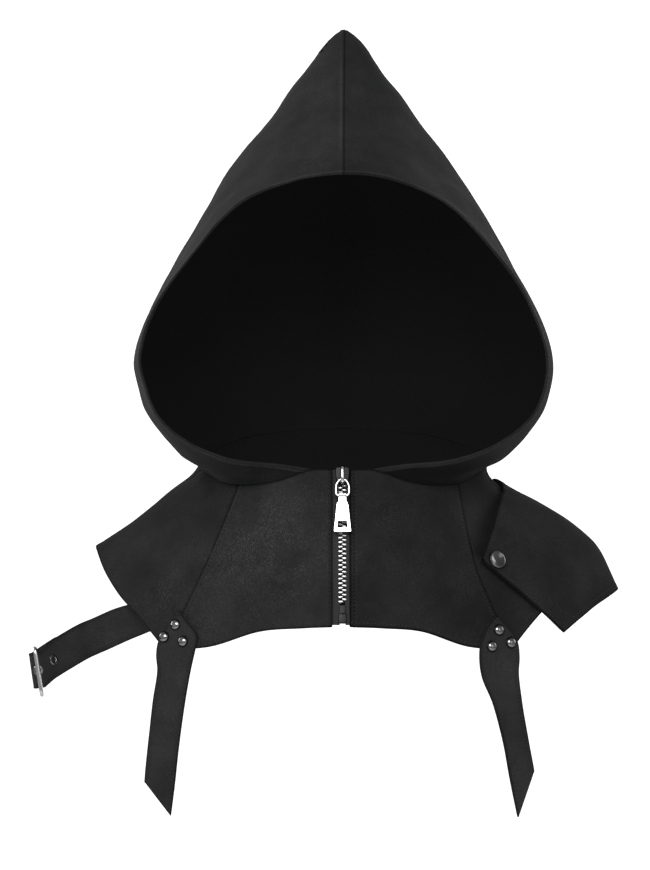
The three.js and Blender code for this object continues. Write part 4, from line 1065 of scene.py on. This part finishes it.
def make_flap():
    rows = graded(((0.09, 18), (0.06, 13)), 46)
    shares = graded(((0.05, 16), (0.05, 16)), 60)
    turned_edge = hem(3.6, 0.4, (2.7,), mark=0.4)
    cloth(
        "suede_shoulder_flap", ["shoulder_flap"], flap_grid(rows, shares), 1,
        {"first_row": turned_edge, "last_row": hem(5.0, 0.3, (4.4,), mark=0.15), "first_column": turned_edge,
         "last_column": turned_edge},
        lambda points: folds(points, FLAP_FOLDS), mottling=0.8, seed=60, painted_light=flap_painted_shade)


# Straps

def strap_hems():
    return {side: hem(3.0, 0.1, (2.2,), mark=0.25) for side in ("first_column", "last_column")}


def make_tail(name, side):
    seated, hanging = TAILS[side]
    shares = graded(((0.12, 8), (0.12, 8)), 16)
    coarse = np.linspace(0, 1, 9)
    rows = []
    for outer, inner in seated:
        rows.append([over_yoke(side, lerp(outer[0], inner[0], t), lerp(outer[1], inner[1], t), TAIL_LIFT + WEBBING)
                     for t in coarse])
    for outer, inner in hanging:
        rows.append(lerp(np.array(outer, float), np.array(inner, float), coarse[:, None]))
    rows = np.array(rows)
    places = np.concatenate([np.linspace(0, 3, 46, endpoint=False), np.linspace(3, 7, 60, endpoint=False),
                             np.linspace(7, 8, 16)])
    sheet = rail(rows, places)
    grid = rail(sheet.swapaxes(0, 1), shares * 8).swapaxes(0, 1)

    def relief(points):
        out = 0.5 * ripple(points * np.array((0.2, 0.2, 1)), 40, 70 + side)
        for x, z in RIVETS[side]:
            distance = np.linalg.norm(points[..., [0, 2]] - np.array((x, z)), axis=-1)
            out -= 0.5 * dent(distance, 6.0)
        return out

    cloth(
        f"strap_tail_{name}_suede", [f"strap_tail_{name}"], grid, -side,
        {**strap_hems(), "last_row": hem(), "first_row": hem(edge=0.5)},
        relief, thickness=WEBBING, material="strap", mottling=0.25, seed=75 + side,
        bulges=(0.9, 0.7, 0.7, 0.7), inside="strap")


onward = unit(STRAP_END_HEADING - HEEL_AXIS * (STRAP_END_HEADING @ HEEL_AXIS))
face_out = unit(np.cross(HEEL_AXIS, onward))
frame_heading = unit(FRAME_HEADING - HEEL_AXIS * (FRAME_HEADING @ HEEL_AXIS))


def strap_front(steps):
    """Centres, crosswise headings and normals of the buckle strap up to its fold."""
    back = -(CLOTH + 0.3 + WEBBING / 2 + 0.3)
    rows = [[over_yoke(-1, *edge, back) for edge in row] for row in BUCKLE_STRAP_ROOT]
    rows += [[np.array(edge, float) for edge in row] for row in BUCKLE_STRAP_ROWS]
    centres = [(top + bottom) / 2 for top, bottom in rows] + [HEEL + face_out * FOLD_RADIUS]
    acrosses = [unit(bottom - top) for top, bottom in rows] + [HEEL_AXIS]
    last = len(centres) - 1
    fine = np.linspace(0, last, 201)
    length = walk(rail(centres, fine))
    places = np.interp(np.linspace(0, length[-1], steps + 1), length, fine)
    centre = rail(centres, places)
    across = unit(rail(acrosses, places))
    ahead, behind = np.minimum(places + 0.01, last), np.maximum(places - 0.01, 0)
    tangent = unit(rail(centres, ahead) - rail(centres, behind))
    tangent[-1] = onward
    return centre, across, unit(np.cross(across, tangent))


def buckle_strap_sections(steps=96, fold_steps=28):
    """Centres, crosswise headings and outward normals of the strap: its front, the fold and the end behind."""
    centre, across, normal = strap_front(steps)
    per_step = steps // STRAP_STEPS
    from_fold = np.arange(steps, -1, -1) / per_step
    lift = strap_lift(from_fold)
    parts = [(centre - normal * lift[:, None], across, -normal)]
    angles = np.linspace(math.pi, 0, fold_steps + 1)[1:, None]
    turn = face_out * np.cos(angles) + onward * np.sin(angles)
    parts.append((HEEL + turn * FOLD_RADIUS, np.repeat(HEEL_AXIS[None], fold_steps, 0), turn))
    index = steps - np.arange(1, len(RETURN_GAPS) * per_step + 1)
    parts.append((centre[index], across[index], normal[index]))
    return [np.concatenate(group) for group in zip(*parts)]


def strap_lift(from_fold):
    """How far the strap's front lies before its end, over steps from the fold."""
    return np.interp(from_fold, (0, 1, 2, 3, 4, 5, 9), (2 * FOLD_RADIUS, *RETURN_GAPS, RETURN_GAPS[-1], 0))


def make_buckle_strap():
    centre, across, normal = buckle_strap_sections()
    offsets = graded(((0.13, 8), (0.13, 8)), 16) * 2 - 1
    grid = centre[:, None] + across[:, None] * (offsets * BUCKLE_STRAP_HALF)[None, :, None]
    grid = grid + normal[:, None] * (WEBBING / 2)

    def relief(points):
        rows = [(*row, 4.0, 0.1) for row in CREASES]
        return folds(points, rows) * smooth(-238, -222, points[..., 0])

    cloth(
        "buckle_strap_suede", ["buckle_strap"], grid, 1, strap_hems(), relief,
        thickness=WEBBING, material="strap", mottling=0.15, seed=90, flecks=BUCKLE_STRAP_FLECKS,
        bulges=(0.5, 0.7, 0.7, 0.7), inside="strap")


# Fasteners

def make_rivets():
    radius = RIVET_RADIUS
    dome = [((radius - 0.6) * math.sin(t), (RIVET_DOME + 0.35) * math.cos(t) - 0.2)
            for t in np.linspace(0.001, math.pi / 2, 14)]
    post = [(radius - 0.65, -0.7), (1.4, -0.7), (1.4, -6.2), (3.0, -6.2), (3.0, -7.0), (0.01, -7.2)]
    # The ring at the cap's foot takes the near-black nickel as painted shadow round the rivet.
    edge = [(radius - inset, height) for inset, height in (
        (0.85, -0.6), (0.8, 0.35), (0.5, 0.4), (0.12, 0.05), (0, -0.5), (0.4, -0.75), (0.85, -0.6))]
    for name, side in SIDES:
        for k, (x, z) in enumerate(RIVETS[side]):
            point, normal = yoke_under(side, x, z)
            seat = point + normal * (TAIL_LIFT + WEBBING + 0.3)
            metal(f"rivet_{name}_cap_{k + 1}", [lathe(dome + post, seat, normal), lathe(edge, seat, normal)],
                  [f"rivet_{name}_{k + 1}"], material=("stud", "slider"))


def snap_seat():
    rows, columns = 9, 12
    grid = flap_grid(np.linspace(0, 1, rows + 1), np.linspace(0, 1, columns + 1))
    normals = grid_normals(grid)

    def mix(values, row=1.15, column=0.5):
        i, j = int(row), int(column)
        upper = lerp(values[i, j], values[i, j + 1], column - j)
        lower = lerp(values[i + 1, j], values[i + 1, j + 1], column - j)
        return lerp(upper, lower, row - i)

    normal = unit(mix(normals))
    return mix(grid) + normal * 0.3, normal


def make_snap():
    seat, normal = snap_seat()
    profile = [(0.01, 0.7), (2.0, 0.8), (3.6, 1.15), (5.2, 1.8), (6.2, 2.15), (6.9, 1.9), (7.35, 1.3), (7.5, 0.6),
               (7.3, 0.0), (6.6, -0.25), (2.0, -0.2), (2.0, -8.4), (4.5, -8.4), (4.5, -9.2), (0.01, -9.3)]
    metal("snap_cap", [lathe(profile, seat, normal, 64)], ["flap_snap"], material="snap")


def make_eyelets():
    """A ring set through the strap's front, and one bent round its fold."""
    centre, _, normal = strap_front(STRAP_STEPS)
    place = STRAP_STEPS - EYELET_STEP
    k = int(place)
    heading = unit(lerp(normal[k], normal[k + 1], place - k))
    seat = lerp(centre[k], centre[k + 1], place - k) - heading * (strap_lift(EYELET_STEP) + WEBBING / 2 + 0.3)
    hole, radius, height, depth = EYELET_HOLE, EYELET_RADIUS, 0.9, 6.0
    section = [(hole, -depth), (hole, height * 0.3), (hole + 0.35, height * 0.85), (lerp(hole, radius, 0.5), height),
               (radius - 0.35, height * 0.8), (radius, height * 0.25), (radius, 0.0), (lerp(hole, radius, 0.4), -0.1),
               (lerp(hole, radius, 0.35), -depth), (hole, -depth)]
    metal("strap_eyelet_ring", [lathe(section, seat, -heading)], ["strap_eyelet"], material="stud")
    turns = 40
    bent = [(0, -1.6), (0, 0.3), (0.2, 0.75), (0.5, 0.85), (0.8, 0.7), (1, 0.2), (1, 0.0), (0.35, -0.1)]
    ring = np.array([
        (lerp(hole, radius, s) * math.cos(t), lerp(hole, radius, s) * math.sin(t), h)
        for s, h in bent for t in np.arange(turns) * 2 * math.pi / turns])
    beside = np.cross(HEEL_AXIS, frame_heading)
    bend = FOLD_RADIUS + WEBBING / 2 + 0.35
    around, reach = ring[:, 0] / bend, bend + ring[:, 2]
    points = (HEEL + frame_heading * (reach * np.cos(around))[:, None] + beside * (reach * np.sin(around))[:, None]
              + HEEL_AXIS * ring[:, 1][:, None])
    index = looped(len(bent), turns)
    index = np.concatenate([index, index[:1]])
    metal("fold_eyelet_ring", [(points, quads(index))], ["fold_eyelet"], material="stud")


def make_buckle():
    corners = [(-FRAME_HALF, 0), (FRAME_HALF, 0), (FRAME_HALF, FRAME_DEPTH), (-FRAME_HALF, FRAME_DEPTH)]
    outline = rounded(corners, 5.0, 8)
    normal = np.cross(HEEL_AXIS, frame_heading)
    path = HEEL + outline[:, :1] * HEEL_AXIS + outline[:, 1:] * frame_heading
    metal("buckle_frame_ring", [wire(path, 1.5, normal, closed=True, sides=16)], ["buckle_frame"],
          body="buckle")
    rod = [HEEL + frame_heading * reach for reach in (2.2, 8, 20.6, 21.8)]
    sleeve = [(2.0, -1.5), (2.7, -1.5), (2.9, -1.2), (2.9, 1.2), (2.7, 1.5), (2.0, 1.5), (2.0, -1.5)]
    metal("buckle_prong_rod", [wire(rod, 1.05, HEEL_AXIS), lathe(sleeve, HEEL, HEEL_AXIS, 32)],
          ["buckle_prong"])


# Zip

def zip_place(points):
    """Points of the zip's own frame in the hood's frame."""
    heading = ZIP_FOOT - ZIP_TOP
    tilt = math.atan2(heading[1], -heading[2])
    c, s = math.cos(tilt), math.sin(tilt)
    turn = np.array(((1, 0, 0), (0, c, -s), (0, s, c)))
    return np.asarray(points) @ turn.T + ZIP_TOP


def stood(part):
    """A plate from the XY plane stood in the zip's XZ plane."""
    points, faces = part
    points = np.asarray(points)
    return np.stack([points[:, 0], -points[:, 2], points[:, 1]], -1), faces


def moved(part, offset):
    points, faces = part
    return np.asarray(points) + np.asarray(offset), faces


def zip_plate(outlines, thickness, bevel, y, steps=3):
    """A bevelled plate that stands in the zip's plane, its middle at y."""
    return moved(stood(plate(outlines, thickness, bevel, steps)), (0, y, 0))


def in_zip(parts):
    return [(zip_place(points), faces) for points, faces in parts]


def tooth(side):
    """One tooth round a point on the tape's edge: a clasp on the tape and a nose past the middle."""
    outline = rounded([(3.3, -0.95), (3.3, 0.75), (0.9, 0.95), (0.1, 0.8), (-0.6, 0.55), (-0.6, -0.3), (0.1, -0.5),
                       (0.9, -0.75)], 0.45, 3)
    points, faces = stood(plate([outline], 2.7, 0.45, 2))
    return points * np.array((side, 1, 1)), faces


def make_zip():
    for name, side in SIDES:
        columns = np.linspace(2.6, 13.9, 30)
        rows = np.linspace(0, 122, 160)
        grid = np.stack(np.broadcast_arrays(side * columns[None, :], [[TAPE_BACK]], -rows[:, None]), -1)
        cloth(f"zip_tape_{name}_weave", [f"zip_tape_{name}"], zip_place(grid), -side,
              {"first_column": hem(1.6, 0.5), "last_row": hem(2.0, 0.1)},
              thickness=0.8, material="tape", mottling=0.12, seed=110 + side,
              bulges=(0.3, 0.3, 0.3, 0.45), inside="tape")
        first = -12.1 if side > 0 else -12.1 - TOOTH_PITCH / 2
        teeth = [moved(tooth(side), (0, TEETH_PLANE, z)) for z in np.arange(first, -105.7, -TOOTH_PITCH)]
        metal(f"zip_teeth_{name}_row", in_zip(teeth), [f"zip_teeth_{name}"], material="teeth")
    pin = rounded([(-2.6, -106.7), (2.6, -106.7), (2.6, -113.6), (-2.6, -113.6)], 0.6, 4)
    box = rounded([(-3.4, -113.4), (3.4, -113.4), (3.4, -121), (-3.4, -121)], 0.9, 5)
    parts = [zip_plate([pin], 2.8, 0.4, TEETH_PLANE), zip_plate([box], 3.6, 0.6, TEETH_PLANE)]
    metal("zip_box_pin", in_zip(parts), ["zip_box"], material="slider")


def make_slider():
    shield = rounded([(-4.4, 1.9), (4.4, 1.9), (5.6, 0.4), (5.6, -3.9), (4.5, -10.6), (-4.5, -10.6), (-5.6, -3.9),
                      (-5.6, 0.4)], 1.6, 5)
    core = rounded([(-3.2, 2.6), (3.2, 2.6), (3.2, -9.6), (-3.2, -9.6)], 0.8, 4)
    # The crown is an arched strip over the bail's top bar.
    arch = np.array([(0, -2.6, 1.9), (0, -4.6, 1.5), (0, -6.3, 0.6), (0, -7.0, -1.2), (0, -7.2, -5.0),
                     (0, -7.0, -8.2), (0, -6.0, -9.9), (0, -4.4, -10.3), (0, -2.6, -10.4)])
    crown = wire(rail(arch, np.linspace(0, len(arch) - 1, 49)), 1.7, (1, 0, 0), flat=0.95)
    # The shield and core take the near-black nickel as painted dark reflection.
    parts = [zip_plate([shield], 2.6, 0.7, -1.85, 4), zip_plate([core], 5.4, 0.5, 1.5), crown]
    metal("zip_slider_body", in_zip(parts), ["zip_slider"], material=("slider", "slider", "chrome"))


def make_pull():
    corners = [(-2.4, BAIL_TOP), (2.4, BAIL_TOP), (5.1, -13.0), (5.1, BAIL_FOOT - 0.6), (-5.1, BAIL_FOOT - 0.6),
               (-5.1, -13.0)]
    loop = rounded(corners, 3.0, 7)
    path = np.stack([loop[:, 0], np.full(len(loop), BAIL_PLANE), loop[:, 1]], -1)
    metal("zip_bail_loop", in_zip([wire(path, 0.95, (0, 1, 0), closed=True)]), ["zip_bail"], body="bail")
    foot = BAIL_FOOT - TAB_LENGTH
    blade = rounded([(-3.1, -21.8), (3.1, -21.8), (3.1, -25.4), (4.6, -28.0), (6.9, foot + 0.3), (6.7, foot),
                     (-6.7, foot), (-6.9, foot + 0.3), (-4.6, -28.0), (-3.1, -25.4)], 0.9, 5)
    window = rounded([(-3.8, foot + 3.4), (3.8, foot + 3.4), (3.4, foot + 8.5), (-3.4, foot + 8.5)], 0.5, 4)[::-1]
    barrel = [(1.2, -3.1), (1.9, -3.1), (2.1, -2.8), (2.1, 2.8), (1.9, 3.1), (1.2, 3.1), (1.2, -3.1)]
    tube = lathe(barrel, (0, BAIL_PLANE, BAIL_FOOT), (1, 0, 0), 36)
    flat = zip_plate([blade, window], 1.8, 0.4, BAIL_PLANE, 4)
    metal("zip_tab_pull", in_zip([flat, tube]), ["zip_tab"], body="tab")


# Camera, light and floor

PHOTO_HEIGHT = 870
EYE = np.array((-13.65, -2715, 27.3))
FRONT_PLANE = -115.0
MM_PER_PIXEL = 0.78
SENSOR = 36.0
FLOOR_LEVEL = -1.1
FLOOR_REACH = 5.5
LIGHT_TARGET = Vector((0, 0, 0.02))

# Lights, as (name, place, width and height, watts).
LIGHTS = [
    ("key", (-0.45, -2.4, 1.15), (1.9, 1.2), 58),
    ("fill", (1.9, -2.2, 0.6), (1.0, 1.4), 4),
    ("rim_left", (-2.5, 1.2, 0.7), (0.8, 1.6), 16),
    ("rim_right", (2.5, 1.2, 0.7), (0.8, 1.6), 10),
]


def make_camera():
    data = bpy.data.cameras.new("camera")
    data.sensor_width = SENSOR
    data.lens = SENSOR * (FRONT_PLANE - EYE[1]) / (PHOTO_HEIGHT * MM_PER_PIXEL)
    data.clip_end = 100
    camera = link("camera", data)
    camera.location = Vector(EYE * MM)
    camera.rotation_euler = (math.pi / 2, 0, 0)
    bpy.context.scene.camera = camera


def make_lights():
    for name, place, size, power in LIGHTS:
        data = bpy.data.lights.new(name, "AREA")
        data.shape = "RECTANGLE"
        data.size, data.size_y = size
        data.energy = power
        light = link(name, data)
        light.location = place
        light.rotation_euler = (LIGHT_TARGET - Vector(place)).to_track_quat("-Z", "Y").to_euler()


def make_surroundings():
    """A white backdrop behind the hood, and greyer walls, ceiling and floor that the metal mirrors."""
    world = bpy.data.worlds.new("studio")
    world.use_nodes = True
    bpy.context.scene.world = world
    tree = world.node_tree
    heading = add(tree, "ShaderNodeTexCoord").outputs["Generated"]
    parts = add(tree, "ShaderNodeSeparateXYZ", {"Vector": heading})
    x, y, z = (parts.outputs[axis] for axis in "XYZ")
    below = ramp(tree, z, -0.3, 0.1, 0.3, 1.0)
    above = ramp(tree, z, 0.1, 0.9, 0.44, 0.2)
    around = times(tree, times(tree, above, below), ramp(tree, x, -0.7, 0.7, 1.12, 0.88))
    backdrop = ramp(tree, y, 0.9, 0.96, 0.0, 0.95)
    strength = times(tree, backdrop, around, "ADD")
    feed(tree, tree.nodes["Background"], {"Color": (1, 1, 1, 1), "Strength": strength})


def make_floor():
    mesh = bpy.data.meshes.new("floor")
    reach = FLOOR_REACH
    corners = ((-reach, -reach), (reach, -reach), (reach, reach), (-reach, reach))
    mesh.from_pydata([(x, y, FLOOR_LEVEL) for x, y in corners], [], [(0, 1, 2, 3)])
    material, tree, shader, place = nodes_of("floor_paper")
    feed(tree, shader, {
        "Roughness": ramp(tree, noise(tree, place, 40.0), 0, 1, 0.85, 0.95),
        "Base Color": (0.85, 0.85, 0.85, 1), "Specular IOR Level": 0.1})
    mesh.materials.append(material)
    floor = link("floor", mesh)


scene = bpy.context.scene
scene.view_settings.view_transform = "Standard"
scene.view_settings.look = "None"

make_camera()
make_surroundings()
make_lights()
make_floor()
make_hood()
make_yoke()
make_flap()
for tail_name, tail_side in SIDES:
    make_tail(tail_name, tail_side)
make_buckle_strap()
stitches(stitch_lines, "topstitching")
make_rivets()
make_snap()
make_eyelets()
make_buckle()
make_zip()
make_slider()
make_pull()
